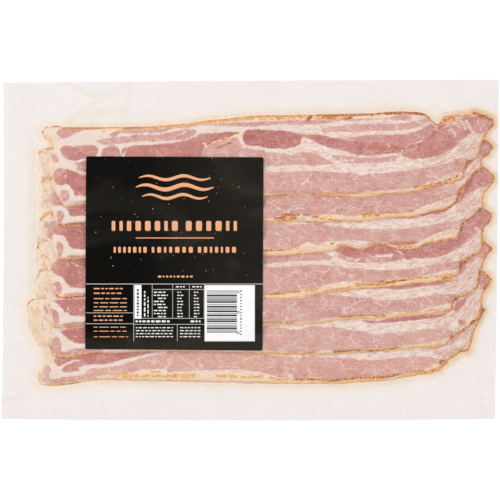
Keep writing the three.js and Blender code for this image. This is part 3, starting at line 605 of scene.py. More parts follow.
MARBLING_6 = [
    muscle(0.74, (-114, -49), (-110, -47.3), (-104, -46.7), (-98, -45.9), (-88, -45.4), (-88, -56.2),
        (-98, -56.2), (-103, -56.1), (-105.5, -55.5), (-106.6, -54.2), (-108, -54.5), (-109.6, -52.9),
        (-111.6, -50.9)),
    fat(0.15, (-108, -54), (-105, -52), (-102, -51)),
    muscle(0.36, (-119.6, -56.4), (-119, -54.4), (-117, -52.1), (-115, -52.1), (-113.4, -54.4),
        (-112.8, -57), (-113.4, -60), (-112, -61), (-110, -60.2), (-98, -58.6), (-88, -58.6), (-88, -61.6),
        (-98, -61.8), (-110, -63.5), (-114, -63.8), (-116.7, -62.9), (-117.5, -60.5), (-118.2, -58)),
    muscle(0.52, (-120, -58), (-118.8, -56.2), (-117.9, -58.2), (-117.7, -62), (-118.5, -63.4),
        (-119.8, -61.8)),
    muscle(0.4, (-121.2, -31.4), (-119.6, -33.6), (-119.2, -37), (-121.6, -38.4), (-124.6, -35.4),
        (-122.6, -33.4)),
    muscle(0.16, (-4, -46.2), (8, -46), (14, -46), (26, -47.4), (32, -46.8), (38, -45.8), (46, -46.2),
        (53, -46.5), (62, -48), (68, -48.7), (74, -49.8), (86, -49.4), (112, -47), (118, -47), (121, -48),
        (122.4, -50), (121, -51.5), (117, -52.6), (113, -54), (108, -55), (97, -57.1), (84, -58.2),
        (78, -59.2), (64, -59.8), (60, -60.5), (50, -60.7), (45, -59.9), (42, -60.8), (36, -61.7),
        (31.4, -61.5), (29.6, -60.7), (27.8, -61.7), (24, -61.8), (18, -61), (8, -60.4), (-4, -60)),
    fat(0.16, (28, -61), (26.6, -58), (27.4, -55)),
    fat(0.14, (74, -50), (76.4, -52.4), (77, -55.6)),
    muscle(0.72, (66, -41.6), (74, -42.6), (82, -41.2), (88, -40.8), (96, -39.8), (111, -38.6), (119, -38),
        (116, -39.6), (108, -40.8), (92, -42.8), (76, -43.8), (68, -43)),
    muscle(0.66, (122.2, -36.4), (122.8, -33), (127.6, -28.6), (130.6, -27.6), (129.8, -30.4),
        (127.6, -33.4), (124.8, -36.2), (122.8, -37)),
    muscle(0.4, (124.4, -42), (129.4, -42.4), (130.4, -44.4), (128, -45.6), (125.6, -45)),
    muscle(0.3, (131, -27.4), (134.6, -25.6), (137, -23.4), (136.8, -24.4), (133.6, -27)),
    muscle(0.42, (137.6, -21.4), (138, -17), (138.8, -13.8), (141, -14.6), (143.6, -16.4), (144.4, -17.8),
        (143, -19.6), (142.2, -22), (139.8, -23), (137.2, -23.6)),
    smoke(0.75, 0.45, (-116.8, -63.6), (-115, -64.6), (-110, -64.2), (-98, -62.6), (-88, -62)),
    smoke(0.4, 0.4, (8, -61.4), (20, -62.2), (40, -61.8)),
    smoke(0.7, 0.45, (50, -61.2), (62, -60.4), (78, -60), (90, -58.4)),
    smoke(1, 0.35, (71.6, -60.5), (73.6, -60.3)),
    smoke(0.3, 0.6, (95, -58.2), (105, -58), (115, -57.2)),
    smoke(0.4, 0.25, (92, -59.4), (100, -58.8), (112, -58.3), (117.6, -57)),
    smoke(0.6, 0.35, (118.2, -56.4), (120, -54.2), (121.8, -51.8), (123.8, -50.2)),
    smoke(0.6, 0.7, (120.4, -51.8), (121.4, -51.2)),
    smoke(0.55, 0.5, (124.6, -50), (128.6, -47.8), (132.6, -45.2)),
    smoke(0.8, 0.6, (133.4, -44.2), (136, -42), (138, -39.8)),
    smoke(0.8, 0.35, (138.3, -39.4), (138.4, -36), (139, -33.4)),
    smoke(0.6, 0.4, (139.4, -31), (140.2, -27)),
    smoke(0.7, 0.3, (140.4, -23.4), (142.4, -22), (143.4, -19.6), (144.8, -17.6), (143.2, -15.4),
        (139.4, -13)),
    smoke(1, 0.4, (142, -22.2), (142.8, -21.8)),
    smoke(1, 0.4, (143, -15.8), (143.6, -15.6)),
    smoke(0.6, 0.6, (-127.6, -16), (-127, -14), (-124.5, -12.8), (-121, -11.8)),
    smoke(0.35, 0.4, (-122, -20.8), (-120.5, -22)),
    cream(0.75, 0.7, (8, -61.6), (20, -62.2), (42, -61.8), (52, -61.8)),
    cream(0.85, 0.7, (76, -60.4), (114, -57)),
    cream(0.4, 1.3, (100, -57), (114, -55.4), (118, -54.4)),
    cream(0.4, 3, (-126.4, -30), (-127, -24), (-126, -18)),
]
RIND_7 = [
    (-125.6, -80.8), (-120, -81.4), (-112, -81), (-103, -79.8), (-94, -78.2), (-80, -78.2), (-60, -78.7),
    (-40, -79), (-20, -79.5), (0, -80), (20, -80.3), (40, -80.4), (54, -80.4), (62, -79.8), (70, -79.2),
    (76, -78.8), (84, -78.3), (92, -76.8), (100, -75.4), (108, -74), (114, -72.4),
]
UPPER_7 = [
    (-121, -28), (-60, -29), (0, -29.5), (60, -29), (110, -30), (139, -33.2),
]
LEFT_7 = [
    (-125.6, -80.8), (-127, -77), (-126.2, -72), (-124.6, -67), (-125.4, -60), (-129.2, -53), (-132, -45),
    (-133.9, -38), (-134.4, -33.4), (-132, -30), (-127, -28.6), (-121, -28),
]
RIGHT_7 = [
    (114, -72.4), (116.6, -69.4), (119.6, -66.4), (123, -63.2), (127, -61.4), (131, -60.4), (132.6, -57),
    (133.4, -52), (135, -47.4), (137.6, -43), (139, -39.4), (140.8, -35.8), (139, -33.2),
]
MARBLING_7 = [
    muscle(0.66, (-118, -66.3), (-115, -64.6), (-106, -63.4), (-98, -62), (-98, -63.4), (-102, -64.4),
        (-109, -67.3), (-112.4, -68.9), (-114, -70), (-116, -68.6)),
    muscle(0.55, (-113, -71.6), (-111, -69.7), (-104.5, -66.5), (-101.4, -66.4), (-99.8, -68),
        (-100.2, -70.6), (-102, -72.2), (-106, -72.9), (-111.5, -72.9)),
    muscle(0.66, (-106, -65.4), (-102, -65.8), (-99, -68.8), (-96, -69.1), (-93, -68.4), (-88, -68.9),
        (-76, -65.6), (-70, -64.4), (-64, -62.8), (-57, -61.4), (-62, -59.8), (-80, -60), (-98, -61.9),
        (-106, -63.2)),
    muscle(0.1, (-124.7, -72.6), (-123.5, -70), (-121.4, -68.8), (-119.7, -70.5), (-119.6, -73),
        (-120.4, -76.2), (-117, -77.3), (-112, -76.2), (-102, -75.2), (-98, -74.4), (-92, -74.6),
        (-92, -76.8), (-98, -77.4), (-104, -78.7), (-110, -79.5), (-116, -80.2), (-124, -79.2),
        (-126, -76.8)),
    warm(0.7, 2.6, (-123, -71), (-122.6, -75.6), (-119, -78.4), (-110, -77.6), (-98, -75.6)),
    muscle(0.22, (-98, -72.3), (-92, -71.5), (-72, -67.2), (-66, -64.9), (-56, -62.7), (-50, -61.3),
        (-44, -60.9), (-12, -61.7), (4, -61.9), (18, -63.5), (24, -64.2), (30, -64), (36, -63.8),
        (42, -63.5), (48, -64.4), (60, -65), (66, -65.9), (76, -65.8), (82, -65), (94, -64.1), (106, -64),
        (110, -64.9), (114, -65.3), (116.5, -66.5), (115.5, -68), (112, -68.1), (109, -69), (106, -70.8),
        (103, -72), (94, -73), (86, -75.1), (80, -75.9), (70, -76.1), (62, -76.5), (46, -77.9), (42, -77.1),
        (38.4, -75.9), (34, -76.8), (29, -77.5), (26, -76.6), (24, -74.5), (22, -76.8), (18, -76.7),
        (14.5, -75.4), (2, -72.7), (-4, -71.7), (-20, -72), (-28, -71.9), (-36, -72.7), (-44, -72.9),
        (-49, -73.4), (-50.4, -71.4), (-54, -71.3), (-60, -71.7), (-66, -72.1), (-70, -73.2), (-86, -75),
        (-92, -75.9), (-98, -76.4)),
    muscle(0, (-97, -73.2), (-84, -70.6), (-72, -67.6), (-50, -61.6), (-28, -61.4), (-8, -62), (6, -62.6),
        (14, -65), (17, -67), (13, -70), (6, -73), (-4, -71.6), (-20, -71.8), (-36, -72.4), (-58, -71.2),
        (-66, -72.2), (-88, -75.2), (-96, -75)),
    fat(0.16, (-49.6, -73.6), (-50.4, -70.4), (-48.4, -66.4), (-45, -63.4)),
    fat(0.8, (-102, -70.8), (-84, -69), (-76, -67), (-57, -62.1), (-50, -60.8)),
    warm(0.5, 4, (-90, -73), (-40, -67), (20, -70), (80, -70), (104, -68)),
    fat(0.2, (24, -74.6), (23, -71.6), (20, -69.4)),
    fat(0.14, (72, -66), (74, -69), (76.6, -71.6), (79, -75)),
    fat(0.14, (106, -64), (107, -67), (110, -69)),
    muscle(0.3, (119.4, -64), (121.4, -61.6), (125, -60.6), (129.4, -60.2), (127, -59), (122.6, -59.2),
        (119.6, -61)),
    muscle(0.34, (119.4, -57.4), (121.4, -54.6), (123.4, -51.6), (124, -50.6), (125, -52), (123.4, -54.6),
        (121.6, -57)),
    smoke(0.6, 0.5, (-126, -73), (-126.6, -77), (-125.4, -80), (-120, -81), (-113, -80.8), (-103, -79.4)),
    smoke(0.35, 0.4, (-98, -78), (-88, -77.4)),
    smoke(0.4, 0.4, (-81, -75.4), (-76, -74.8), (-70, -75.4)),
    smoke(0.3, 1, (-76, -75.8), (-66, -75.4), (-46, -75.6), (-34, -75.6)),
    smoke(0.5, 0.3, (-59, -73.2), (-54, -72.8)),
    smoke(0.3, 0.8, (-20, -75.6), (-8, -76), (4, -76), (8, -75.4)),
    smoke(0.4, 0.3, (-12, -72.8), (-4, -72.9)),
    *[
        smoke(0.62, 0.1, (x, -73.6 - 0.3 * (x % 3)), (x + 0.3, -76.4 + 0.4 * (x % 4)))
        for x in range(-49, -30, 2)
    ],
    smoke(0.55, 0.4, (12, -76.6), (18, -77.6), (24, -77)),
    smoke(0.7, 0.5, (26, -77.5), (31, -77.9), (36, -77.5), (48, -78.5), (54, -78)),
    smoke(0.75, 0.5, (54, -77.9), (60, -77.2), (76, -76.5), (84, -75.9), (89, -74.7)),
    smoke(0.5, 0.35, (89, -74.6), (95, -73.4), (104, -72.6)),
    smoke(0.4, 0.3, (54, -79.8), (62, -79), (78, -78)),
    smoke(0.35, 0.35, (90, -75.9), (106, -73.5)),
    smoke(0.6, 0.35, (103.6, -73.6), (107, -73.2)),
    smoke(0.75, 0.4, (114.4, -67.4), (116, -66.2)),
    smoke(0.5, 0.5, (109, -72.4), (113, -71), (114.8, -69)),
    smoke(0.55, 0.5, (117.4, -67.6), (123, -63), (126.6, -61.4), (130.6, -60.6)),
    smoke(0.5, 0.4, (131.2, -60), (132.4, -56.8), (133, -52), (134.6, -47.6), (137, -43.4)),
    smoke(0.7, 0.4, (137.4, -43), (140.4, -36)),
    smoke(0.7, 0.6, (-134, -33), (-131.6, -30.4), (-123, -28.5)),
    smoke(0.28, 1.4, (-133.4, -36), (-131.8, -44), (-129.4, -51), (-125.6, -57.6)),
    smoke(0.2, 1, (-124.6, -62), (-124, -67)),
    cream(0.9, 1.5, (-98, -78), (-88, -77.4), (-76, -76.8), (-66, -75.4), (-56, -75), (-46, -76),
        (-24, -75.6), (-10, -75.6), (4, -76.6), (14, -78), (26, -78.9)),
    cream(0.7, 1, (26, -79), (54, -79), (66, -78.2), (78, -77.4), (98, -74.2), (108, -72.4), (113, -71)),
    cream(0.45, 1.4, (98, -73.6), (106, -71.8), (112, -69.6)),
    cream(0.55, 5, (-130, -36), (-128, -44), (-125, -52), (-122, -62)),
]

RASHERS = [
    {"rind": rind, "upper": upper, "left": left, "right": right, "marbling": marbling}
    for rind, upper, left, right, marbling in (
        (RIND_1, UPPER_1, LEFT_1, RIGHT_1, MARBLING_1),
        (RIND_2, UPPER_2, LEFT_2, RIGHT_2, MARBLING_2),
        (RIND_3, UPPER_3, LEFT_3, RIGHT_3, MARBLING_3),
        (RIND_4, UPPER_4, LEFT_4, RIGHT_4, MARBLING_4),
        (RIND_5, UPPER_5, LEFT_5, RIGHT_5, MARBLING_5),
        (RIND_6, UPPER_6, LEFT_6, RIGHT_6, MARBLING_6),
        (RIND_7, UPPER_7, LEFT_7, RIGHT_7, MARBLING_7),
    )
]


def smooth_line(points, per_gap=5, closed=False):
    """A smooth curve through the points, with per_gap short pieces between two of them."""
    points = np.asarray(points, float)
    if closed:
        points = np.vstack([points[-1:], points, points[:2]])
    gaps = np.maximum(np.linalg.norm(np.diff(points, axis=0), axis=1), 1e-6)
    slopes = np.diff(points, axis=0) / gaps[:, None]
    tangents = np.empty_like(points)
    tangents[0], tangents[-1] = slopes[0], slopes[-1]
    weighted = slopes[1:] * gaps[:-1, None] + slopes[:-1] * gaps[1:, None]
    tangents[1:-1] = weighted / (gaps[:-1] + gaps[1:])[:, None]
    t = np.linspace(0, 1, per_gap, endpoint=False)[:, None]
    first, last = (1, len(points) - 2) if closed else (0, len(points) - 1)
    line = []
    for i in range(first, last):
        line.append(
            (2 * t**3 - 3 * t**2 + 1) * points[i] + (t**3 - 2 * t**2 + t) * gaps[i] * tangents[i]
            + (3 * t**2 - 2 * t**3) * points[i + 1] + (t**3 - t**2) * gaps[i] * tangents[i + 1]
        )
    line.append(points[last:last + 1])
    return np.vstack(line)


def along(line, shares):
    """The points at these shares of a line's length."""
    lengths = np.concatenate([[0], np.cumsum(np.linalg.norm(np.diff(line, axis=0), axis=1))])
    wanted = np.asarray(shares) * lengths[-1]
    return np.stack([np.interp(wanted, lengths, line[:, 0]), np.interp(wanted, lengths, line[:, 1])], axis=1)


def distance_to_line(x, y, line):
    """Distance from each point to a line of short pieces."""
    nearest = np.full(x.shape, np.inf)
    for (ax, ay), (bx, by) in zip(line[:-1], np.diff(line, axis=0)):
        share = np.clip(((x - ax) * bx + (y - ay) * by) / max(bx * bx + by * by, 1e-9), 0, 1)
        nearest = np.minimum(nearest, (x - ax - share * bx) ** 2 + (y - ay - share * by) ** 2)
    return np.sqrt(nearest)


def is_inside(x, y, line):
    """Whether each point is inside a closed line, by counting the sides that a ray crosses."""
    inside = np.zeros(x.shape, bool)
    for (ax, ay), (bx, by) in zip(line[:-1], line[1:]):
        if ay == by:
            continue
        crosses = ((ay > y) != (by > y)) & (x < ax + (y - ay) * (bx - ax) / (by - ay))
        inside ^= crosses
    return inside


def is_near(x, y, line, reach):
    """Whether each point lies in the box round a line, grown by reach."""
    low, high = line.min(axis=0) - reach, line.max(axis=0) + reach
    return (x > low[0]) & (x < high[0]) & (y > low[1]) & (y < high[1])


def depth_in(x, y, line, reach=30.0):
    """Distance to a closed line, positive inside it, and minus the reach where the line is farther off."""
    near = is_near(x, y, line, reach)
    depth = np.full(x.shape, -reach)
    near_x, near_y = x[near], y[near]
    side = np.where(is_inside(near_x, near_y, line), 1, -1)
    depth[near] = side * distance_to_line(near_x, near_y, line)
    return depth


def smoothstep(value, low=0.0, high=1.0):
    share = np.clip((value - low) / (high - low), 0, 1)
    return share * share * (3 - 2 * share)


def edges_of(rasher):
    return {name: smooth_line(rasher[name]) for name in ("rind", "upper", "left", "right")}


def outline_of(edges):
    """A rasher's dented outline, as a closed line of short pieces."""
    line = np.vstack([edges["rind"], edges["right"][1:], edges["upper"][::-1][1:], edges["left"][::-1][1:]])
    length = np.linalg.norm(np.diff(line, axis=0), axis=1).sum()
    line = along(line, np.linspace(0, 1, int(length / OUTLINE_STEP)))
    return np.stack(dented(line[:, 0], line[:, 1]), axis=1)


def patch_between(lower, upper, left, right, s, f):
    """Points of a four-sided patch: a row for each s from left to right, and each row from low to high."""
    low, high = along(lower, s)[:, None], along(upper, s)[:, None]
    start, stop = along(left, f)[None], along(right, f)[None]
    s, f = s[:, None, None], f[None, :, None]
    corners = (
        (1 - s) * (1 - f) * low[0, 0] + s * (1 - f) * low[-1, 0]
        + (1 - s) * f * high[0, 0] + s * f * high[-1, 0]
    )
    return (1 - f) * low + f * high + (1 - s) * start + s * stop - corners


def edge_heavy_shares(steps, rim):
    """Shares from 0 to 1 that lie close together within a rim at both ends."""
    ends = np.array([0, 0.1, 0.3, 0.6]) * rim
    middle = np.linspace(rim, 1 - rim, steps + 1 - 2 * len(ends))
    return np.concatenate([ends, middle, 1 - ends[::-1]])


class Raster:
    """A height or distance that is known on a square grid over the pack, and read between its points."""

    def __init__(self):
        self.x = np.arange(-RASTER_REACH_X, RASTER_REACH_X + RASTER_STEP / 2, RASTER_STEP)
        self.y = np.arange(-RASTER_REACH_Y, RASTER_REACH_Y + RASTER_STEP / 2, RASTER_STEP)
        self.grid_x, self.grid_y = np.meshgrid(self.x, self.y, indexing="ij")

    def read(self, values, x, y):
        u = np.clip((x - self.x[0]) / RASTER_STEP, 0, len(self.x) - 1.001)
        v = np.clip((y - self.y[0]) / RASTER_STEP, 0, len(self.y) - 1.001)
        i, j = u.astype(int), v.astype(int)
        u, v = u - i, v - j
        return (
            values[i, j] * (1 - u) * (1 - v) + values[i + 1, j] * u * (1 - v)
            + values[i, j + 1] * (1 - u) * v + values[i + 1, j + 1] * u * v
        )

    def raised(self, values, reach):
        """Each value becomes the highest one within a few steps of it."""
        for axis in (0, 1):
            values = np.max([np.roll(values, shift, axis) for shift in range(-reach, reach + 1)], axis=0)
        return values

    def blurred(self, values, spread):
        reach = int(np.ceil(3 * spread / RASTER_STEP))
        weights = np.exp(-0.5 * (np.arange(-reach, reach + 1) * RASTER_STEP / spread) ** 2)
        weights /= weights.sum()
        for axis in (0, 1):
            values = np.apply_along_axis(lambda row: np.convolve(row, weights, mode="same"), axis, values)
        return values


RASTER = Raster()


def dent_field(random):
    field = RASTER.blurred(random.normal(0, 1, RASTER.grid_x.shape), DENT_WIDTH)
    return field / field.std()


DENT_RANDOM = np.random.default_rng(DENT_SEED)
DENT_FIELDS = [dent_field(DENT_RANDOM), dent_field(DENT_RANDOM)]


def dented(x, y, from_edge=0.0):
    """Points moved by small irregular dents, which fade out inward from the edge."""
    ends = np.maximum(smoothstep(x, *RIGHT_ENDS), left_end(x))
    size = (DENT_DEPTH + (DENT_DEPTH_AT_ENDS - DENT_DEPTH) * ends) * np.exp(-from_edge / DENT_FADE)
    moved = [RASTER.read(field, x, y) * size for field in DENT_FIELDS]
    return x + moved[0], y + moved[1]


def left_end(x):
    """1 where the rashers end in thin fatty lobes on the left, and 0 farther right."""
    return 1 - smoothstep(x, *LOBES)


EDGES = [edges_of(rasher) for rasher in RASHERS]
OUTLINES = [outline_of(edges) for edges in EDGES]
DEPTHS = [depth_in(RASTER.grid_x, RASTER.grid_y, outline, DEPTH_REACH) for outline in OUTLINES]


def lift_under(index, x, y):
    """Height of the underside of a rasher, which drapes over the rashers below it."""
    lift = np.full(np.shape(x), RASHER_BASE)
    for lower in range(index + 1, len(RASHERS)):
        depth = RASTER.read(DEPTHS[lower], x, y)
        draped = smoothstep(depth, -DRAPE_OUT, DRAPE_IN)
        touching = fullness(x, np.maximum(depth + LOBE_OVERHANG, 0)) * (depth > -LOBE_OVERHANG)
        contact = smoothstep(left_end(x), 0, LOBE_CONTACT_BY)
        lift = lift + RASHER_THICKNESS * (draped + (touching - draped) * contact)
    return lift


def fullness(x, depth):
    """How much of its whole thickness a rasher has this deep within its outline."""
    lobe = left_end(x)
    rounding = EDGE_ROUNDING + (LEFT_END_ROUNDING - EDGE_ROUNDING) * lobe
    thin = EDGE_SHARE + (LEFT_END_SHARE - EDGE_SHARE) * lobe
    return thin + (1 - thin) * np.sin(np.clip(depth / rounding, 0, 1) * np.pi / 2) ** 0.9


def ripple_at(index, x, y):
    turns_x = x / RIPPLE["length_x"] * 2 * np.pi + RIPPLE["turn_x"] * index
    turns_y = y / RIPPLE["length_y"] * 2 * np.pi + RIPPLE["turn_y"] * index
    return RIPPLE["height"] * np.sin(turns_x) * np.cos(turns_y)


def face_height(index, x, y, depth):
    """Height of a rasher's face, with its rounded edge."""
    return lift_under(index, x, y) + fullness(x, depth) * (RASHER_THICKNESS + ripple_at(index, x, y))


def stack_height():
    """Height of the uppermost face on the raster, and 0 beside the bacon."""
    height = np.zeros(RASTER.grid_x.shape)
    for index, depth in enumerate(DEPTHS):
        face = face_height(index, RASTER.grid_x, RASTER.grid_y, depth)
        height = np.maximum(height, np.where(depth > 0, face, 0))
    return height


STACK = stack_height()
FILM_FACE = np.maximum(
    np.where(STACK > 0, STACK + FILM_LIFT, 0),
    RASTER.blurred(np.maximum(STACK + FILM_LIFT, SEAL_HEIGHT), FILM_BLEND),
)
FILM_FACE = np.maximum(RASTER.blurred(FILM_FACE, FILM_SMOOTHING), STACK + FILM_LIFT / 2)
LABEL_FACE = RASTER.blurred(RASTER.raised(FILM_FACE, LABEL_REACH), LABEL_EASE) + LABEL_LIFT
STACK_DEPTH = np.max(DEPTHS, axis=0)


def film_height(x, y):
    return RASTER.read(FILM_FACE, x, y)


def label_height(x, y):
    return RASTER.read(LABEL_FACE, x, y) + LABEL_THICKNESS


def make_object(name, points, faces, material, attributes=None, replaces=()):
    """A mesh object from points in millimetres, with its point attributes, riding on the pack's one body."""
    mesh = bpy.data.meshes.new(name)
    mesh.from_pydata((np.asarray(points) * MM).tolist(), [], faces)
    for key, values in (attributes or {}).items():
        mesh.attributes.new(key, "FLOAT", "POINT").data.foreach_set("value", np.asarray(values, np.float32))
    mesh.polygons.foreach_set("use_smooth", np.ones(len(mesh.polygons), bool))
    mesh.materials.append(material)
    mesh.update()
    obj = bpy.data.objects.new(name, mesh)
    bpy.context.scene.collection.objects.link(obj)
    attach(obj, BODY)
    if replaces:
        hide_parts(*replaces)
    return obj


def grid_faces(rows, columns, first=0, flip=False):
    """Four-sided faces of a grid of points, listed row by row."""
    i, j = np.meshgrid(np.arange(rows - 1), np.arange(columns - 1), indexing="ij")
    a = first + i * columns + j
    quads = np.stack([a, a + columns, a + columns + 1, a + 1], axis=-1).reshape(-1, 4)
    return (quads[:, ::-1] if flip else quads).tolist()


def rim_of(rows, columns, first=0):
    """The points round the border of a grid, counterclockwise as seen from above."""
    rim = [i * columns for i in range(rows)]
    rim += [(rows - 1) * columns + j for j in range(1, columns)]
    rim += [i * columns + columns - 1 for i in range(rows - 2, -1, -1)]
    rim += list(range(columns - 2, 0, -1))
    return [first + point for point in rim]


def stitch(outer, inner, times):
    """Faces between a fine closed rim above and a rim below with one point for so many of its points."""
    faces = []
    count = len(inner)
    for k in range(count):
        fine = [outer[(k * times + t) % len(outer)] for t in range(times + 1)]
        here, following = inner[k], inner[(k + 1) % count]
        half = times // 2
        faces += [[here, fine[t + 1], fine[t]] for t in range(half)]
        faces.append([here, following, fine[half]])
        faces += [[following, fine[t + 1], fine[t]] for t in range(half, times)]
    return faces


MEAT_REACH = 3.0
TONE_EDGE = 0.8


def paint_muscle(paint, x, y, mark):
    depth = depth_in(x, y, smooth_line(mark["points"], 4, closed=True), MEAT_REACH)
    paint["meat"] = np.maximum(paint["meat"], depth)
    share = smoothstep(depth, -TONE_EDGE, TONE_EDGE)
    paint["dark"] = paint["dark"] * (1 - share) + mark["tone"] * share


def paint_fat(paint, x, y, mark):
    distance = near_distance(x, y, mark["points"], MEAT_REACH)
    paint["meat"] = np.minimum(paint["meat"], distance - mark["half_width"])


def near_distance(x, y, points, reach):
    """Distance to a smooth line where it is within reach, and a large one elsewhere."""
    line = smooth_line(points, 4)
    near = is_near(x, y, line, reach)
    distance = np.full(x.shape, 1e3)
    distance[near] = distance_to_line(x[near], y[near], line)
    return distance


# Thin strokes widen towards the tips on the right, and smoked ones are paler at the lobes on the left
TIP_STROKE_GROWTH = 1.0
TIP_STROKES = (98.0, 124.0)
THIN_STROKE = 0.65
STROKE_FADES = {"smoke": 0.5, "cream": 0.5, "warm": 1.0}
PALER_SMOKE = ((0.2, 90.0, 98.0), (0.25, 116.0, 121.0))


def paint_stroke(paint, x, y, mark):
    """A smoked, yellowed or warm stroke, which fades out at its sides."""
    half_width = mark["half_width"]
    fade = STROKE_FADES[mark["kind"]] * (1 + half_width)
    wider = 1 + TIP_STROKE_GROWTH * (half_width < THIN_STROKE) * smoothstep(x, *TIP_STROKES)
    reach = (half_width + 2 * fade) * (1 + TIP_STROKE_GROWTH)
    distance = near_distance(x, y, mark["points"], reach) / wider
    solid = 1 - smoothstep(distance, half_width - fade / 2, half_width + fade)
    paler = sum(share * smoothstep(-x, low, high) for share, low, high in PALER_SMOKE)
    amount = mark["strength"] * solid * (1 - paler * (mark["kind"] == "smoke"))
    paint[mark["kind"]] = np.maximum(paint[mark["kind"]], amount)


PAINTERS = {
    "muscle": paint_muscle,
    "fat": paint_fat,
    "smoke": paint_stroke,
    "cream": paint_stroke,
    "warm": paint_stroke,
}


# Smoked edges and a warm tint of the lobes at the left, which run on from one rasher's lobe to the next
LEFT_ARCS = [
    smoke(0.71, 0.75, (-126.8, 58.2), (-124.5, 59.6), (-122, 60.5), (-118.6, 60.9)),
    smoke(0.81, 1.1, (-125.2, 42.4), (-123, 43), (-119.6, 43)),
    smoke(0.47, 1.4, (-125, 41.4), (-122, 41.8), (-120, 41.8)),
    smoke(0.81, 0.75, (-125.4, 18.2), (-123.6, 20.2), (-121.4, 21.8), (-119.2, 22.6), (-118.2, 20.8)),
    smoke(0.76, 0.7, (-127.6, 1), (-126.8, 4), (-125.2, 5.5), (-122.4, 5.6)),
    smoke(0.71, 0.7, (-128, -16.2), (-127.2, -13.8), (-124.6, -12.2), (-121.2, -11.5), (-120.8, -13)),
    smoke(0.71, 0.75, (-134.8, -33.6), (-132.4, -30.6), (-129, -29.2), (-125, -28.8), (-122.6, -28.6)),
    smoke(0.76, 0.45, (-124.6, -3), (-122, -4.4), (-120.2, -6)),
    smoke(0.38, 0.65, (-124.6, 69.8), (-122.6, 67.6), (-120.2, 66), (-118.8, 63.4)),
    smoke(0.33, 0.65, (-127.2, 53.4), (-125, 54.8), (-123.4, 52.6)),
    smoke(0.33, 0.75, (-124.2, 35), (-121.4, 36)),
    smoke(0.47, 0.55, (-122.4, -19.6), (-120, -21), (-118.4, -22.6)),
    smoke(0.33, 0.75, (-127, 17.6), (-127, 13), (-126.6, 8.6)),
    smoke(0.43, 0.65, (-121, -54.6), (-119.4, -58), (-118.4, -61.8)),
    warm(0.55, 3.5, (-114, 68), (-115, 40), (-116.5, 0), (-118, -40), (-118, -70)),
    smoke(0.47, 0.55, (-120.6, -42.6), (-118.6, -44.6)),
]


# The upper muscles, which show on the first rasher, run through every slice, so the others have them too
# where only their undersides show. The lean under the label joins what shows on its left and right.
UPPER_MUSCLES_FROM = 50.0
UPPER_MUSCLES_RIGHT_OF = -110.0
HIDDEN_SLIDE = 6.0
HIDDEN_SLIDE_TURN = 2.3
LABEL_SPAN = (-92.0, 10.0)
LABEL_LEAN = {"tone": 0.5, "low_at_left": 5.5, "low_falls": 3.0, "high": 14.5}


def hidden_marks(index):
    rind = smooth_line(RASHERS[index]["rind"])
    first_rind = smooth_line(RASHERS[0]["rind"])
    fall = float(np.interp(0, rind[:, 0], rind[:, 1]) - np.interp(0, first_rind[:, 0], first_rind[:, 1]))
    slide = HIDDEN_SLIDE * np.sin(HIDDEN_SLIDE_TURN * index)
    marks = []
    for mark in RASHERS[0]["marbling"]:
        low = min(y for _, y in mark["points"])
        right = max(x for x, _ in mark["points"])
        above = low > UPPER_MUSCLES_FROM and right > UPPER_MUSCLES_RIGHT_OF
        if index and mark["kind"] in ("muscle", "fat") and above:
            marks.append({**mark, "points": [(x + slide, y + fall) for x, y in mark["points"]]})
    if index < len(RASHERS) - 1:
        marks.append(lean_under_label(rind))
    return marks


def lean_under_label(rind):
    x = np.linspace(*LABEL_SPAN, 9)
    base = np.interp(x, rind[:, 0], rind[:, 1])
    low = LABEL_LEAN["low_at_left"] - LABEL_LEAN["low_falls"] * (x - x[0]) / (x[-1] - x[0])
    lower = list(zip(x, base + low))
    upper = list(zip(x[::-1], base[::-1] + LABEL_LEAN["high"]))
    return muscle(LABEL_LEAN["tone"], *lower, *upper)


# Where the tips' grain begins and is full, and how far from the slice above its rust and painted shade are
# full and end
TIPS = (96.0, 122.0)
LAP_STAIN_AND_SHADE = (0.1, 1.5)

# The greatest depth within a slice that its stains need, and the depth that its whole underside is given
DEPTH_KEPT = 6.0
UNDERSIDE_DEPTH = 5.0


def paint_rasher(index, x, y, depth):
    """A rasher's marbling as values at its points. Meat is a depth in millimetres, positive in lean meat."""
    paint = {"meat": np.full(x.shape, -MEAT_REACH)}
    for key in ("dark", "smoke", "cream", "warm"):
        paint[key] = np.zeros(x.shape)
    for mark in hidden_marks(index) + RASHERS[index]["marbling"] + LEFT_ARCS:
        PAINTERS[mark["kind"]](paint, x, y, mark)
    rind = smooth_line(RASHERS[index]["rind"])
    paint["across"] = y - grain_line(x, rind)
    paint["tip"] = smoothstep(x, *TIPS)
    paint["lobe"] = left_end(x)
    paint["depth"] = np.minimum(depth, DEPTH_KEPT)
    # crease: how close the edge of the slice above lies, for a rust tint that is partly painted shade
    if index:
        paint["crease"] = 1 - smoothstep(-RASTER.read(DEPTHS[index - 1], x, y), *LAP_STAIN_AND_SHADE)
    else:
        paint["crease"] = np.zeros(x.shape)
    return paint


GRAIN_TURNS_FROM = 102.0
GRAIN_TURNS_TO = 134.0
GRAIN_SLOPES = (0.16, 0.95)


def grain_line(x, rind):
    """The line that the fat's seams follow: the rind edge, and past its end a rising curve."""
    before = np.interp(np.minimum(x, GRAIN_TURNS_FROM), rind[:, 0], rind[:, 1])
    past = np.clip(x - GRAIN_TURNS_FROM, 0, None)
    span = GRAIN_TURNS_TO - GRAIN_TURNS_FROM
    steepening = (GRAIN_SLOPES[1] - GRAIN_SLOPES[0]) / span
    bent = np.minimum(past, span)
    return before + GRAIN_SLOPES[0] * past + steepening * (0.5 * bent**2 + span * (past - bent))


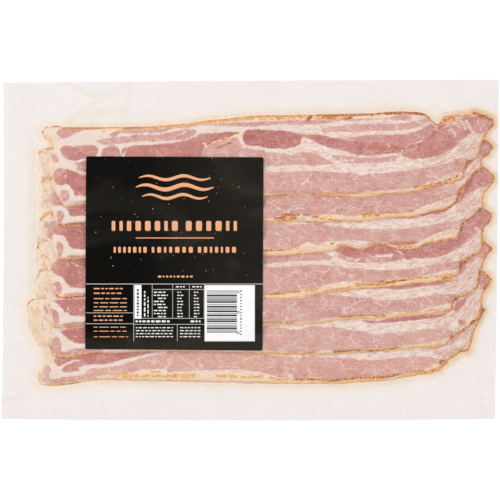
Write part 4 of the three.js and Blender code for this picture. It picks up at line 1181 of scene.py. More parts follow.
def make_rasher(index, material):
    """One slice: a fine face, a coarser underside and a rim that joins them."""
    edges = EDGES[index]
    s = edge_heavy_shares(STEPS_ALONG, END_RIM_SHARE)
    f = edge_heavy_shares(STEPS_ACROSS - STEPS_ACROSS % UNDERSIDE_SHARE, SIDE_RIM_SHARE)
    face = patch_between(edges["rind"], edges["upper"], edges["left"], edges["right"], s, f)
    ends = np.minimum(s, 1 - s)[:, None] * RASHER_LENGTH
    sides = np.minimum(f, 1 - f)[None] * RASHER_WIDTH
    face = np.stack(dented(face[..., 0], face[..., 1], np.minimum(ends, sides)), axis=-1)
    x, y = face[..., 0].ravel(), face[..., 1].ravel()
    depth = np.maximum(depth_in(x, y, OUTLINES[index]), 0)
    upper = np.stack([x, y, face_height(index, x, y, depth)], axis=1)
    under = face[::UNDERSIDE_SHARE, ::UNDERSIDE_SHARE]
    under_x, under_y = under[..., 0].ravel(), under[..., 1].ravel()
    lower = np.stack([under_x, under_y, lift_under(index, under_x, under_y)], axis=1)
    points = np.vstack([upper, lower])
    faces = grid_faces(len(s), len(f))
    faces += grid_faces(*under.shape[:2], first=len(upper), flip=True)
    faces += stitch(rim_of(len(s), len(f)), rim_of(*under.shape[:2], first=len(upper)), UNDERSIDE_SHARE)
    all_depth = np.concatenate([depth, np.full(len(lower), UNDERSIDE_DEPTH)])
    paint = paint_rasher(index, points[:, 0], points[:, 1], all_depth)
    return make_object(f"rasher_{index + 1}", points, faces, material, paint, replaces=["pouch"])


def quadratic(start, control, stop, count=40):
    """A gentle bow from start to stop."""
    t = np.linspace(0, 1, count)[:, None]
    return (1 - t) ** 2 * np.array(start) + 2 * t * (1 - t) * np.array(control) + t**2 * np.array(stop)


def pack_edges():
    """The pouch's four slightly bowed sides."""
    half_width, half_depth = PACK_WIDTH / 2, PACK_DEPTH / 2
    lower_left = (-half_width, -half_depth + EDGE_BOW)
    lower_right = (half_width - 2 * CORNER_SKEW, -half_depth + EDGE_BOW)
    upper_right = (half_width, half_depth)
    upper_left = (-half_width + CORNER_SKEW, half_depth - 2 * EDGE_BOW)
    return {
        "lower": quadratic(lower_left, (0, -half_depth - EDGE_BOW), lower_right),
        "upper": quadratic(upper_left, (0, half_depth - EDGE_BOW / 2), upper_right),
        "left": quadratic(lower_left, (-half_width + 2 * CORNER_SKEW, 0), upper_left),
        "right": quadratic(lower_right, (half_width - CORNER_SKEW / 2, 0), upper_right),
    }


def film_grid(steps):
    edges = pack_edges()
    s = np.linspace(0, 1, steps[0] + 1)
    f = np.linspace(0, 1, steps[1] + 1)
    return patch_between(edges["lower"], edges["upper"], edges["left"], edges["right"], s, f)


# Creases in the empty film with painted highlights, as strength, half width and the line's points
CREASES = [
    (0.55, 0.7, (-112.8, 102), (-102, 96.4), (-91.2, 90), (-98, 85), (-111, 76.8)),
    (0.4, 0.8, (-91.2, 90), (-80, 96), (-72, 100.2), (-73.6, 88), (-74.4, 78)),
    (0.4, 3.6, (-100, 82.6), (-88, 82), (-76, 83.4)),
    (0.45, 0.7, (-149.4, -91.8), (-141, -88), (-133.2, -84.6)),
    (0.45, 0.8, (-131, 60), (-130.6, 20), (-131, -20)),
    (0.35, 2.6, (-131, 66), (-130.4, 20), (-131, -24)),
    (0.5, 0.6, (28.4, -36), (29.4, -50), (29.2, -63)),
    (0.35, 0.6, (43.4, -12), (43.2, -30), (44, -44)),
    (0.15, 0.8, (136, -66), (138, -80), (137, -98)),
]


# How strongly the film is stained everywhere, along the stack's upper and lower sides and at the tips
STAIN = {"everywhere": 0.14, "sides": 0.2, "tips": 0.62}


def film_paint(x, y):
    """How far each point lies out from the bacon, and where the film is creased and painted with highlights,
    stained or over lobes.
    """
    crease = np.zeros(x.shape)
    for strength, half_width, *points in CREASES:
        distance = near_distance(x, y, points, half_width + 1.5)
        solid = 1 - smoothstep(distance, half_width * 0.3, half_width + 0.9)
        crease = np.maximum(crease, strength * solid)
    sides = STAIN["sides"] * smoothstep(np.abs(y), 60, 76) * smoothstep(x, -110, -90)
    stain = STAIN["everywhere"] + sides + STAIN["tips"] * smoothstep(x, 104, 128)
    return {"out": -RASTER.read(STACK_DEPTH, x, y), "crease": crease, "lobe": left_end(x), "stain": stain}


def make_film(name, heights, material, up):
    grid = film_grid(FILM_STEPS)
    x, y = grid[..., 0].ravel(), grid[..., 1].ravel()
    z = heights(x, y).reshape(grid.shape[:2])
    z[[0, -1]] = np.minimum(z[[0, -1]], RIM_HEIGHT)
    z[:, [0, -1]] = np.minimum(z[:, [0, -1]], RIM_HEIGHT)
    points = np.stack([x, y, z.ravel()], axis=1)
    faces = grid_faces(*grid.shape[:2], flip=not up)
    return make_object(name, points, faces, material, film_paint(x, y), replaces=["pouch"])


def points_over(length, step):
    """How many points, at least two, a length takes."""
    return max(2, int(np.ceil(length / step)) + 1)


def grid_between(x, low, high, rows):
    """A grid between two curves, given as the Y of each at the values of X."""
    share = np.linspace(0, 1, rows)
    y = low[:, None] + (high - low)[:, None] * share
    return np.stack([np.repeat(x[:, None], rows, axis=1), y], axis=-1)


def bar(left, right, bottom, top, radius=0.0):
    """A flat bar with round corners."""
    x = np.linspace(left, right, points_over(right - left, LABEL_STEP))
    if radius > 0:
        turn = radius * (1 - np.cos(np.linspace(0, np.pi / 2, 5)))
        x = np.unique(np.round(np.concatenate([left + turn, right - turn, x[1:-1]]), 4))
    inset = np.clip(radius - np.minimum(x - left, right - x), 0, radius)
    cut = radius - np.sqrt(np.maximum(radius**2 - inset**2, 0))
    cut = np.minimum(cut, (top - bottom) / 2 - 0.01)
    return grid_between(x, bottom + cut, top - cut, points_over(top - bottom, LABEL_STEP))


def wave_band(left, right, middle, swing, half_width, turns):
    """A wavy stripe that narrows to both ends."""
    x = np.linspace(left, right, points_over(right - left, WAVE_STEP))
    share = (x - left) / (right - left)
    centre = middle + swing * np.sin(share * 2 * np.pi * turns)
    half = half_width * (0.12 + 0.88 * np.sqrt(np.sin(np.pi * np.clip(share, 0, 1))))
    return grid_between(x, centre - half, centre + half, rows=3)


def plates(name, grids, thickness, lift, material, replaces=(), on_film=False):
    """Thin closed plates on the label's draped face, or the label itself on the film, as one piece."""
    points, faces = [], []
    for grid in grids:
        rows, columns = grid.shape[:2]
        x, y = grid[..., 0].ravel(), grid[..., 1].ravel()
        top = label_height(x, y) + lift
        first = len(points)
        points += np.stack([x, y, top], axis=1).tolist()
        under = film_height(x, y) + INK_LIFT if on_film else top - thickness
        points += np.stack([x, y, np.minimum(under, top - INK_THICKNESS)], axis=1).tolist()
        count = rows * columns
        faces += grid_faces(rows, columns, first)
        faces += grid_faces(rows, columns, first + count, flip=True)
        rim = rim_of(rows, columns, first)
        below = rim_of(rows, columns, first + count)
        for k in range(len(rim)):
            following = (k + 1) % len(rim)
            faces.append([below[k], below[following], rim[following], rim[k]])
    return make_object(name, points, faces, material, replaces=replaces)


class Nodes:
    """A node tree that is filled by short calls."""

    def __init__(self, tree):
        self.tree = tree

    def add(self, kind, settings=None, **inputs):
        node = self.tree.nodes.new(kind)
        for key, value in (settings or {}).items():
            setattr(node, key, value)
        for key, value in inputs.items():
            self.feed(node.inputs[key.replace("_", " ")], value)
        return node

    def feed(self, socket, value):
        if isinstance(value, bpy.types.NodeSocket):
            self.tree.links.new(value, socket)
        else:
            socket.default_value = value

    def math(self, operation, first, second=0.0, third=0.0, clamp=False):
        node = self.tree.nodes.new("ShaderNodeMath")
        node.operation = operation
        node.use_clamp = clamp
        for socket, value in zip(node.inputs, (first, second, third)):
            self.feed(socket, value)
        return node.outputs[0]

    def map(self, value, low, high, to_low=0.0, to_high=1.0):
        """A smooth step from to_low to to_high."""
        node = self.tree.nodes.new("ShaderNodeMapRange")
        node.interpolation_type = "SMOOTHSTEP"
        for socket, number in zip(node.inputs, (value, low, high, to_low, to_high)):
            self.feed(socket, number)
        return node.outputs[0]

    def mix(self, factor, first, second, blend="MIX"):
        node = self.tree.nodes.new("ShaderNodeMix")
        node.data_type = "RGBA"
        node.blend_type = blend
        self.feed(node.inputs["Factor"], factor)
        colours = [socket for socket in node.inputs if socket.type == "RGBA"]
        self.feed(colours[0], first)
        self.feed(colours[1], second)
        return next(socket for socket in node.outputs if socket.type == "RGBA")

    def attribute(self, name):
        return self.add("ShaderNodeAttribute", {"attribute_name": name}).outputs["Fac"]

    def millimetres(self, stretch=(1, 1, 1)):
        """Object coordinates in millimetres, stretched along each axis."""
        place = self.add("ShaderNodeTexCoord").outputs["Object"]
        node = self.add("ShaderNodeVectorMath", {"operation": "MULTIPLY"})
        self.feed(node.inputs[0], place)
        node.inputs[1].default_value = [share / MM for share in stretch]
        return node.outputs[0]

    def warped(self, place, scale, amount):
        """Coordinates pushed about by a noise."""
        noise = self.add("ShaderNodeTexNoise", Vector=place, Scale=scale, Detail=2.0)
        push = self.add("ShaderNodeVectorMath", {"operation": "MULTIPLY_ADD"})
        self.feed(push.inputs[0], noise.outputs["Color"])
        push.inputs[1].default_value = [amount] * 3
        self.feed(push.inputs[2], place)
        return push.outputs[0]

    def noise(self, place, scale, detail=2.0, roughness=0.5, distortion=0.0):
        settings = {"Scale": scale, "Detail": detail, "Roughness": roughness, "Distortion": distortion}
        return self.add("ShaderNodeTexNoise", Vector=place, **settings).outputs["Fac"]

    def swing(self, value, amount, middle=0.5):
        """A value that runs around its middle, made to run around 0 and scaled."""
        return self.math("MULTIPLY", self.math("SUBTRACT", value, middle), amount)

    def product(self, first, *others):
        for other in others:
            first = self.math("MULTIPLY", first, other)
        return first

    def ramp(self, factor, stops):
        node = self.add("ShaderNodeValToRGB", Fac=factor)
        ramp = node.color_ramp
        while len(ramp.elements) < len(stops):
            ramp.elements.new(0.5)
        for element, (place, colour) in zip(ramp.elements, stops):
            element.position = place
            element.color = colour
        return node.outputs["Color"]


def srgb(red, green, blue):
    """A colour given as it is seen, from 0 to 255, in the linear form that shaders take."""
    channels = []
    for value in (red / 255, green / 255, blue / 255):
        channels.append(value / 12.92 if value <= 0.04045 else ((value + 0.055) / 1.055) ** 2.4)
    return (*channels, 1.0)


def new_group(name, inputs, outputs):
    """An empty shader node group with named number inputs and outputs."""
    group = bpy.data.node_groups.new(name, "ShaderNodeTree")
    for title, kind, value in inputs:
        socket = group.interface.new_socket(name=title, in_out="INPUT", socket_type=kind)
        socket.default_value = value
    for title, kind in outputs:
        group.interface.new_socket(name=title, in_out="OUTPUT", socket_type=kind)
    nodes = Nodes(group)
    return group, nodes, group.nodes.new("NodeGroupInput"), group.nodes.new("NodeGroupOutput")


def make_unevenness():
    """Soft blotches and fine grain as one value around 0, used on meat, film, paper and ink."""
    group, nodes, given, result = new_group(
        "unevenness",
        [("Blotch Size", "NodeSocketFloat", 12.0), ("Grain Size", "NodeSocketFloat", 0.8),
         ("Blotch Depth", "NodeSocketFloat", 0.1), ("Grain Depth", "NodeSocketFloat", 0.03)],
        [("Value", "NodeSocketFloat")],
    )
    place = nodes.millimetres()
    parts = []
    for size, depth, detail in (("Blotch Size", "Blotch Depth", 2.0), ("Grain Size", "Grain Depth", 3.0)):
        scale = nodes.math("DIVIDE", 1.0, given.outputs[size])
        noise = nodes.noise(place, scale, detail)
        centred = nodes.math("SUBTRACT", noise, 0.5)
        parts.append(nodes.math("MULTIPLY", centred, nodes.math("MULTIPLY", given.outputs[depth], 2.0)))
    nodes.feed(result.inputs["Value"], nodes.math("ADD", *parts))
    return group


UNEVENNESS = make_unevenness()


def new_material(name):
    material = bpy.data.materials.new(name)
    material.use_nodes = True
    material.node_tree.nodes.clear()
    nodes = Nodes(material.node_tree)
    shader = nodes.add("ShaderNodeBsdfPrincipled")
    output = nodes.add("ShaderNodeOutputMaterial")
    nodes.feed(output.inputs["Surface"], shader.outputs["BSDF"])
    return material, nodes, shader


def unevenness(nodes, blotch_size, grain_size, blotch_depth, grain_depth):
    node = nodes.add("ShaderNodeGroup", {"node_tree": UNEVENNESS})
    for key, value in (("Blotch Size", blotch_size), ("Grain Size", grain_size),
                       ("Blotch Depth", blotch_depth), ("Grain Depth", grain_depth)):
        node.inputs[key].default_value = value
    return node.outputs["Value"]


def brightened(nodes, colour, value):
    """A colour made lighter or darker by a value around 0."""
    node = nodes.add("ShaderNodeHueSaturation", Color=colour)
    nodes.feed(node.inputs["Value"], nodes.math("ADD", value, 1.0))
    return node.outputs["Color"]


LEAN_TONES = [
    (0.0, srgb(211, 164, 153)), (0.25, srgb(203, 150, 142)), (0.5, srgb(192, 125, 119)),
    (0.75, srgb(182, 102, 98)), (1.0, srgb(168, 84, 80)),
]
LEAN_WARM = srgb(212, 146, 128)
LEAN_THREAD = srgb(229, 201, 190)
FAT_TONES = [
    (0.0, srgb(208, 164, 150)), (0.3, srgb(219, 188, 177)),
    (0.6, srgb(228, 206, 197)), (1.0, srgb(238, 224, 215)),
]
FAT_SEAM = srgb(192, 122, 104)
FAT_CREAM = srgb(240, 214, 173)
FAT_GOLD = srgb(232, 174, 102)
LOBE_TONES = [
    (0.0, srgb(208, 148, 112)), (0.3, srgb(222, 180, 147)),
    (0.6, srgb(233, 206, 180)), (1.0, srgb(238, 220, 206)),
]
SMOKE_TONES = [
    (0.1, srgb(238, 208, 162)), (0.28, srgb(230, 178, 108)), (0.48, srgb(218, 146, 74)),
    (0.68, srgb(196, 110, 56)), (0.86, srgb(170, 84, 46)), (1.0, srgb(130, 62, 40)),
]
SMOKED_LEAN = srgb(168, 86, 66)
RUST = srgb(172, 88, 66)
RIM_TINT = srgb(236, 184, 130)
LOBE_RIM = srgb(244, 232, 220)


def net(nodes, place, half_width):
    """Thin joined lines between uneven cells, as a mask."""
    cells = nodes.add("ShaderNodeTexVoronoi", {"feature": "DISTANCE_TO_EDGE", "voronoi_dimensions": "2D"},
                      Vector=place, Scale=1.0)
    return nodes.map(cells.outputs["Distance"], half_width * 0.3, half_width, 1.0, 0.0)


def grain_place(nodes, along, across, offset):
    """Slightly wandering coordinates along and across the slice, whose seams bend up at the right end."""
    split = nodes.add("ShaderNodeSeparateXYZ", Vector=nodes.millimetres())
    wander = nodes.swing(nodes.noise(nodes.millimetres(), 0.22, 3), 5.0)
    bent = nodes.math("ADD", nodes.attribute("across"), wander)
    x = nodes.product(split.outputs["X"], along)
    y = nodes.product(bent, across)
    return nodes.add("ShaderNodeCombineXYZ", X=x, Y=y, Z=offset).outputs[0]


def grain_lines(nodes, period, along, wander, offset):
    """Wavy hairlines along the slice, one each period of millimetres, as a mask."""
    place = grain_place(nodes, along, 1.0, offset)
    wave = nodes.add("ShaderNodeTexWave", {"bands_direction": "Y"}, Vector=place, Scale=0.314 / period,
                     Distortion=wander, Detail=4.0, Detail_Scale=1.6, Detail_Roughness=0.6)
    return nodes.map(wave.outputs["Fac"], 0.62, 1.0)


def lean_colour(nodes):
    """Lean meat: its tone, soft mottling, fine fibres along the slice and a net of pale threads of fat."""
    mottling = unevenness(nodes, 7.0, 1.0, 0.4, 0.34)
    tone = nodes.math("ADD", nodes.attribute("dark"), mottling, clamp=True)
    colour = nodes.ramp(tone, LEAN_TONES)
    warmth = nodes.math("ADD", nodes.attribute("warm"), unevenness(nodes, 20.0, 2.5, 0.5, 0.25), clamp=True)
    colour = nodes.mix(nodes.product(warmth, 0.7), colour, LEAN_WARM)
    fibres = nodes.noise(grain_place(nodes, 0.3, 1.5, 3.0), 1.0, 5, 0.65, 0.4)
    colour = brightened(nodes, colour, nodes.map(fibres, 0.28, 0.72, -0.09, 0.09))
    speckle = nodes.noise(nodes.millimetres(), 1.15, 3, 0.75)
    colour = brightened(nodes, colour, nodes.map(speckle, 0.3, 0.7, -0.17, 0.17))
    dots = nodes.map(nodes.noise(nodes.millimetres((1, 1, 7)), 0.95, 2), 0.62, 0.72, 0.0, 0.55)
    colour = nodes.mix(dots, colour, LEAN_THREAD)
    bent = nodes.warped(nodes.millimetres((0.075, 0.13, 1)), 1.7, 1.1)
    wide = net(nodes, bent, 0.06)
    more_bent = nodes.warped(nodes.millimetres((0.15, 0.28, 1)), 1.3, 1.3)
    fine = nodes.product(net(nodes, more_bent, 0.075), 0.6)
    shown = nodes.map(nodes.noise(nodes.millimetres((0.13, 0.16, 0.5)), 1.0, 3), 0.38, 0.58, 0.1, 1.0)
    clearer = nodes.map(nodes.attribute("dark"), 0.25, 0.6, 1.0, 0.4)
    amount = nodes.product(nodes.math("MAXIMUM", wide, fine), shown, clearer, 0.8)
    return nodes.mix(amount, colour, LEAN_THREAD)


def towards_right(nodes, low, high):
    """A value that runs from low over the left third of the pack to high over the right third."""
    split = nodes.add("ShaderNodeSeparateXYZ", Vector=nodes.millimetres())
    return nodes.map(split.outputs["X"], -60.0, 50.0, low, high)


def fat_colour(nodes):
    """Fat: near white with pinkish grain along the slice, hairlines at its right end, blotchy lobes left."""
    grain = nodes.noise(grain_place(nodes, 0.17, 0.95, 0.0), 1.0, 5, 0.66, 0.7)
    tip = nodes.attribute("tip")
    evenness = nodes.swing(grain, towards_right(nodes, 0.3, 1.0), middle=0.46)
    toned = nodes.math("ADD", evenness, towards_right(nodes, 0.5, 0.46))
    toned = nodes.math("SUBTRACT", toned, nodes.product(tip, 0.03))
    colour = nodes.ramp(nodes.map(toned, 0.3, 0.62), FAT_TONES)
    patchy = nodes.map(nodes.noise(nodes.millimetres((0.16, 0.22, 1)), 1.0, 3), 0.36, 0.6, 0.12, 1.0)
    finer = nodes.product(grain_lines(nodes, 1.0, 0.3, 6.0, 6.0), 0.6)
    lines = nodes.math("MAXIMUM", grain_lines(nodes, 1.8, 0.42, 8.0, 2.0), finer)
    faint = nodes.math("ADD", nodes.math("MULTIPLY", tip, 0.75), towards_right(nodes, 0.03, 0.18))
    colour = nodes.mix(nodes.product(lines, faint, patchy), colour, FAT_SEAM)
    blotches = nodes.noise(nodes.millimetres((0.24, 0.32, 1)), 1.0, 5, 0.62, 0.5)
    lobes = nodes.ramp(nodes.map(blotches, 0.34, 0.62), LOBE_TONES)
    colour = nodes.mix(nodes.attribute("lobe"), colour, lobes)
    return brightened(nodes, colour, unevenness(nodes, 7.0, 0.8, 0.02, 0.03))


def edge_stain(nodes, colour):
    """Golden and rust-red stains, about 2 mm wide, at a slice's edge, and rust and painted shade beside the
    one above.
    """
    depth = nodes.attribute("depth")
    tip = nodes.attribute("tip")
    lobe = nodes.attribute("lobe")
    inner = nodes.math("SUBTRACT", 1.0, lobe)
    rough = nodes.math("SUBTRACT", nodes.noise(nodes.millimetres((0.5, 0.8, 1)), 1.0, 4, 0.7), 0.5)
    from_edge = nodes.math("ADD", depth, nodes.product(rough, 4.0))
    patchy = nodes.noise(nodes.millimetres((0.2, 0.45, 1)), 1.0, 4, 0.62)
    fewer = nodes.math("MULTIPLY_ADD", tip, -0.4, 1.0)
    golden = nodes.map(patchy, 0.4, 0.58, 0.15, 0.9)
    gold = nodes.product(nodes.map(from_edge, 2.1, 0.5), golden, inner, fewer)
    colour = nodes.mix(gold, colour, FAT_GOLD)
    colour = nodes.mix(nodes.product(nodes.map(depth, 0.7, 0.0), inner, 0.45), colour, RIM_TINT)
    spots = nodes.map(nodes.noise(nodes.millimetres((0.3, 0.6, 5)), 1.0, 4, 0.66), 0.4, 0.56)
    redder = nodes.math("ADD", nodes.math("MULTIPLY", tip, 0.7), 0.3)
    close = nodes.math("ADD", depth, nodes.math("MULTIPLY", rough, 1.6))
    rust = nodes.product(nodes.map(close, 0.95, 0.25), spots, inner, redder)
    colour = nodes.mix(rust, colour, RUST)
    # painted shade: beside the edge of the slice above, a patchy rust tint stands partly for the slice's
    # colour and partly for the shade in the crease
    below = nodes.product(nodes.attribute("crease"), nodes.map(patchy, 0.42, 0.6, 0.05, 0.8), inner, 0.6)
    colour = nodes.mix(below, colour, RUST)
    uneven = nodes.math("ADD", depth, nodes.product(rough, 5.0))
    faded = nodes.product(nodes.map(uneven, 2.8, 0.2), lobe, 0.7)
    return nodes.mix(faded, colour, LOBE_RIM)


def make_bacon():
    """Streaky bacon: fat with lean meat, a yellowed band along the rind and smoked edges."""
    material, nodes, shader = new_material("bacon")
    place = nodes.millimetres()
    ragged = nodes.swing(nodes.noise(place, 1.0, 4, 0.75), 2.1)
    drawn = nodes.noise(grain_place(nodes, 0.12, 0.85, 20.0), 1.0, 5, 0.65, 0.4)
    drawn = nodes.swing(drawn, towards_right(nodes, 1.3, 2.4))
    wobble = nodes.swing(nodes.noise(place, 0.36, 3, 0.6), 1.5)
    ragged = nodes.math("ADD", ragged, wobble)
    depth = nodes.math("ADD", nodes.attribute("meat"), nodes.math("ADD", ragged, drawn))
    lean = nodes.map(depth, -0.2, 0.2)
    colour = nodes.mix(lean, fat_colour(nodes), lean_colour(nodes))
    blotches = nodes.map(nodes.noise(nodes.millimetres((0.3, 0.7, 1)), 1.0, 4, 0.65), 0.3, 0.62, 0.25, 1.0)
    fatty = nodes.math("SUBTRACT", 1.0, nodes.math("MULTIPLY", lean, 0.75))
    yellowed = nodes.product(nodes.attribute("cream"), fatty)
    colour = nodes.mix(nodes.product(yellowed, blotches), colour, FAT_CREAM)
    streaks = nodes.map(nodes.noise(grain_place(nodes, 0.2, 1.1, 30.0), 1.0, 4, 0.68, 0.5), 0.52, 0.66)
    colour = nodes.mix(nodes.product(streaks, yellowed, 0.85), colour, FAT_GOLD)
    colour = edge_stain(nodes, colour)
    uneven = nodes.noise(nodes.millimetres((0.55, 0.85, 1)), 1.0, 4, 0.7, 0.4)
    least = nodes.math("MULTIPLY_ADD", nodes.attribute("tip"), -0.3, 0.4)
    broken = nodes.map(uneven, 0.36, 0.62, least, 1.6)
    smoked = nodes.math("MULTIPLY", nodes.attribute("smoke"), broken, clamp=True)
    tint = nodes.mix(nodes.math("MULTIPLY", lean, 0.7), nodes.ramp(smoked, SMOKE_TONES), SMOKED_LEAN)
    colour = nodes.mix(nodes.map(smoked, 0.05, 0.3), colour, tint)
    nodes.feed(shader.inputs["Base Color"], colour)
    nodes.feed(shader.inputs["Roughness"], nodes.map(nodes.noise(place, 0.4, 3), 0.3, 0.7, 0.36, 0.52))
    shader.inputs["Specular IOR Level"].default_value = 0.25
    fine = nodes.noise(nodes.millimetres((0.3, 1.1, 1)), 1.0, 4)
    fine = nodes.math("ADD", fine, nodes.product(lean, -0.25))
    bump = nodes.add("ShaderNodeBump", Height=fine, Strength=0.3, Distance=0.0003)
    nodes.feed(shader.inputs["Normal"], bump.outputs["Normal"])
    return material


FILM_CLEAR = srgb(245, 237, 234)
FILM_NEAR = srgb(246, 233, 217)
FILM_PEACH = srgb(242, 192, 132)
FILM_CREASE_HIGHLIGHT = srgb(252, 239, 218)
FILM_FOOT = srgb(248, 182, 120)


def make_film_material(name, over, beside):
    """Clear glossy film. over and beside are how much it veils the bacon and the empty margin."""
    material, nodes, shader = new_material(name)
    out = nodes.attribute("out")
    soft = nodes.swing(nodes.noise(nodes.millimetres(), 0.1, 4), 8.0)
    near = nodes.map(nodes.math("ADD", out, soft), 9.0, 0.0)
    uneven = nodes.math("ADD", out, nodes.product(soft, 0.3))
    smear = nodes.product(nodes.map(uneven, 4.2, 0.2), nodes.map(out, -0.8, 0.4), nodes.attribute("stain"))
    colour = nodes.mix(near, FILM_CLEAR, FILM_NEAR)
    colour = nodes.mix(smear, colour, FILM_PEACH)
    rising, falling = nodes.map(out, -0.9, 0.1), nodes.map(out, 1.0, 0.1, 0.0, 0.6)
    foot = nodes.product(rising, falling, nodes.attribute("stain"))
    colour = nodes.mix(foot, colour, FILM_FOOT)
    # painted highlight: creases are painted paler and more opaque, standing in for the light they catch, and
    # are also bumped as folds
    crease = nodes.attribute("crease")
    colour = nodes.mix(nodes.product(crease, 0.7), colour, FILM_CREASE_HIGHLIGHT)
    colour = brightened(nodes, colour, unevenness(nodes, 30.0, 2.0, 0.012, 0.006))
    nodes.feed(shader.inputs["Base Color"], colour)
    veil = nodes.map(out, -0.2, 1.3, over, beside)
    for cloud, share in ((smear, 0.1), (foot, 0.12), (crease, 0.22)):
        veil = nodes.math("ADD", veil, nodes.product(cloud, share))
    hazy = nodes.product(nodes.attribute("lobe"), nodes.map(out, 0.5, -2.0, 0.0, 0.2))
    veil = nodes.math("ADD", veil, hazy)
    veil = nodes.math("ADD", veil, unevenness(nodes, 16.0, 3.0, 0.05, 0.02), clamp=True)
    nodes.feed(shader.inputs["Alpha"], veil)
    shader.inputs["Roughness"].default_value = 0.16
    shader.inputs["IOR"].default_value = 1.5
    folds = nodes.noise(nodes.millimetres((0.03, 0.045, 0.03)), 1.0, 3, 0.5, 0.8)
    height = nodes.math("ADD", folds, nodes.math("MULTIPLY", crease, 0.5))
    bump = nodes.add("ShaderNodeBump", Height=height, Strength=0.1, Distance=0.0016)
    nodes.feed(shader.inputs["Normal"], bump.outputs["Normal"])
    return material


def make_paper():
    """The label's black paper, with painted sheen: warmer and lighter to the right, along the bottom and in
    soft patches.
    """
    material, nodes, shader = new_material("black_paper")
    split = nodes.add("ShaderNodeSeparateXYZ", Vector=nodes.millimetres())
    # painted sheen: the paper is made lighter to the right, along the bottom and in soft patches, standing in
    # for reflections
    right = nodes.map(split.outputs["X"], -80.0, -10.0, 0.0, 0.6)
    low = nodes.map(split.outputs["Y"], -46.0, -58.0, 0.0, 0.8)
    patches = nodes.noise(nodes.millimetres((0.02, 0.032, 0.02)), 1.0, 4, 0.55, 0.6)
    patches = nodes.map(patches, 0.45, 0.7, -0.04, 0.55)
    painted_sheen = nodes.math("ADD", patches, nodes.math("ADD", right, low), clamp=True)
    colour = nodes.ramp(painted_sheen, [(0.0, srgb(5, 4, 3)), (0.5, srgb(27, 24, 19)), (1.0, srgb(44, 40, 33))])
    colour = brightened(nodes, colour, unevenness(nodes, 5.0, 0.5, 0.1, 0.12))
    nodes.feed(shader.inputs["Base Color"], colour)
    sheen = nodes.noise(nodes.millimetres(), 0.15, 3)
    nodes.feed(shader.inputs["Roughness"], nodes.map(sheen, 0.3, 0.7, 0.42, 0.55))
    shader.inputs["Specular IOR Level"].default_value = 0.06
    grain = nodes.noise(nodes.millimetres(), 2.5, 3)
    bump = nodes.add("ShaderNodeBump", Height=grain, Strength=0.12, Distance=0.0001)
    nodes.feed(shader.inputs["Normal"], bump.outputs["Normal"])
    return material


def make_ink(name, colour, metallic=0.0, roughness=0.5):
    """Printed ink, slightly uneven where the paper's grain shows through."""
    material, nodes, shader = new_material(name)
    colour = brightened(nodes, colour, unevenness(nodes, 6.0, 0.35, 0.05, 0.1))
    nodes.feed(shader.inputs["Base Color"], colour)
    shader.inputs["Metallic"].default_value = metallic
    grain = nodes.noise(nodes.millimetres(), 1.8, 3)
    nodes.feed(shader.inputs["Roughness"], nodes.map(grain, 0.3, 0.7, roughness - 0.08, roughness + 0.08))
    return material


BACON = make_bacon()
FRONT_FILM = make_film_material("front_film", over=0.08, beside=0.3)
BACK_FILM = make_film_material("back_film", over=0.15, beside=0.35)
PAPER = make_paper()
COPPER = make_ink("copper_ink", srgb(236, 168, 124))
WHITE = make_ink("white_ink", srgb(246, 244, 242), roughness=0.55)
GREY = make_ink("grey_ink", srgb(186, 182, 176), roughness=0.55)
BLACK = make_ink("black_ink", srgb(30, 28, 27), roughness=0.55)
GREY_BLUE = make_ink("grey_blue_ink", srgb(190, 208, 210), roughness=0.55)


def label_sheet():
    """The label's own outline with its round corners, as a grid."""
    (ulx, uly), (urx, ury), (lrx, lry), (llx, lly) = LABEL_CORNERS
    flat = bar(0, urx - ulx, 0, uly - lly, LABEL_CORNER_RADIUS)
    u, v = flat[..., 0] / (urx - ulx), flat[..., 1] / (uly - lly)
    x = (1 - v) * ((1 - u) * llx + u * lrx) + v * ((1 - u) * ulx + u * urx)
    y = (1 - v) * ((1 - u) * lly + u * lry) + v * ((1 - u) * uly + u * ury)
    return np.stack([x, y], axis=-1)


PRINT_SEED = 7
RANDOM = np.random.default_rng(PRINT_SEED)


def print_line(left, right, middle, height, words=(2.0, 7.0), gap=0.9):
    """A line of small print as plain word-length bars."""
    bars, x = [], left
    while x < right - 0.8:
        stop = min(x + RANDOM.uniform(*words), right)
        bars.append(bar(x, stop, middle - height / 2, middle + height / 2, height / 2))
        x = stop + gap
    return bars


def upright_line(low, high, middle, width, words=(1.0, 3.0), gap=0.7):
    """The same as print_line, but running up."""
    lines = print_line(low, high, middle, width, words, gap)
    return [grid[..., ::-1] * (-1, 1) + (2 * middle, 0) for grid in lines]


def blocks(left, right, middle, height, count):
    """A row of plain upright blocks of uneven width, where a word would stand."""
    widths = RANDOM.uniform(0.5, 1.0, count)
    gap = 0.5 * (right - left) / count
    widths *= (right - left - gap * (count - 1)) / widths.sum()
    bars, x = [], left
    for width in widths:
        bars.append(bar(x, x + width, middle - height / 2, middle + height / 2, 0.28 * min(width, height)))
        x += width + gap
    return bars


def copper_print():
    grids = [
        wave_band(-66.6, -23.4, 43.2, 1.2, 1.0, 2.0),
        wave_band(-68.4, -21.6, 37.6, 1.4, 1.3, 2.0),
        wave_band(-64.8, -25.2, 32.0, 1.2, 1.0, 2.0),
        bar(-68.4, -21.6, 6.9, 7.5),
    ]
    grids += blocks(-82.8, -43.2, 14.4, 6.0, 8)
    grids += blocks(-38.4, -7.8, 14.4, 6.0, 6)
    for left, right in ((-81.6, -61.8), (-58.8, -34.2), (-31.2, -8.4)):
        grids += blocks(left, right, 0.1, 3.6, 7)
    grids += print_line(-55.2, -34.2, -15.9, 1.2, words=(1.0, 2.4), gap=0.8)
    for middle in (-29.1, -31.6, -34.0, -36.2):
        grids += print_line(-93.6, -73.6, middle, 0.6)
    for middle in (-23.1, -25.9, -39.6, -42.0):
        grids += print_line(-93.6, -76.0, middle, 0.8, words=(1.4, 4.0), gap=0.7)
    for middle in (-46.2, -48.6, -52.0):
        grids += print_line(-93.6, -73.0, middle, 0.5)
    return grids


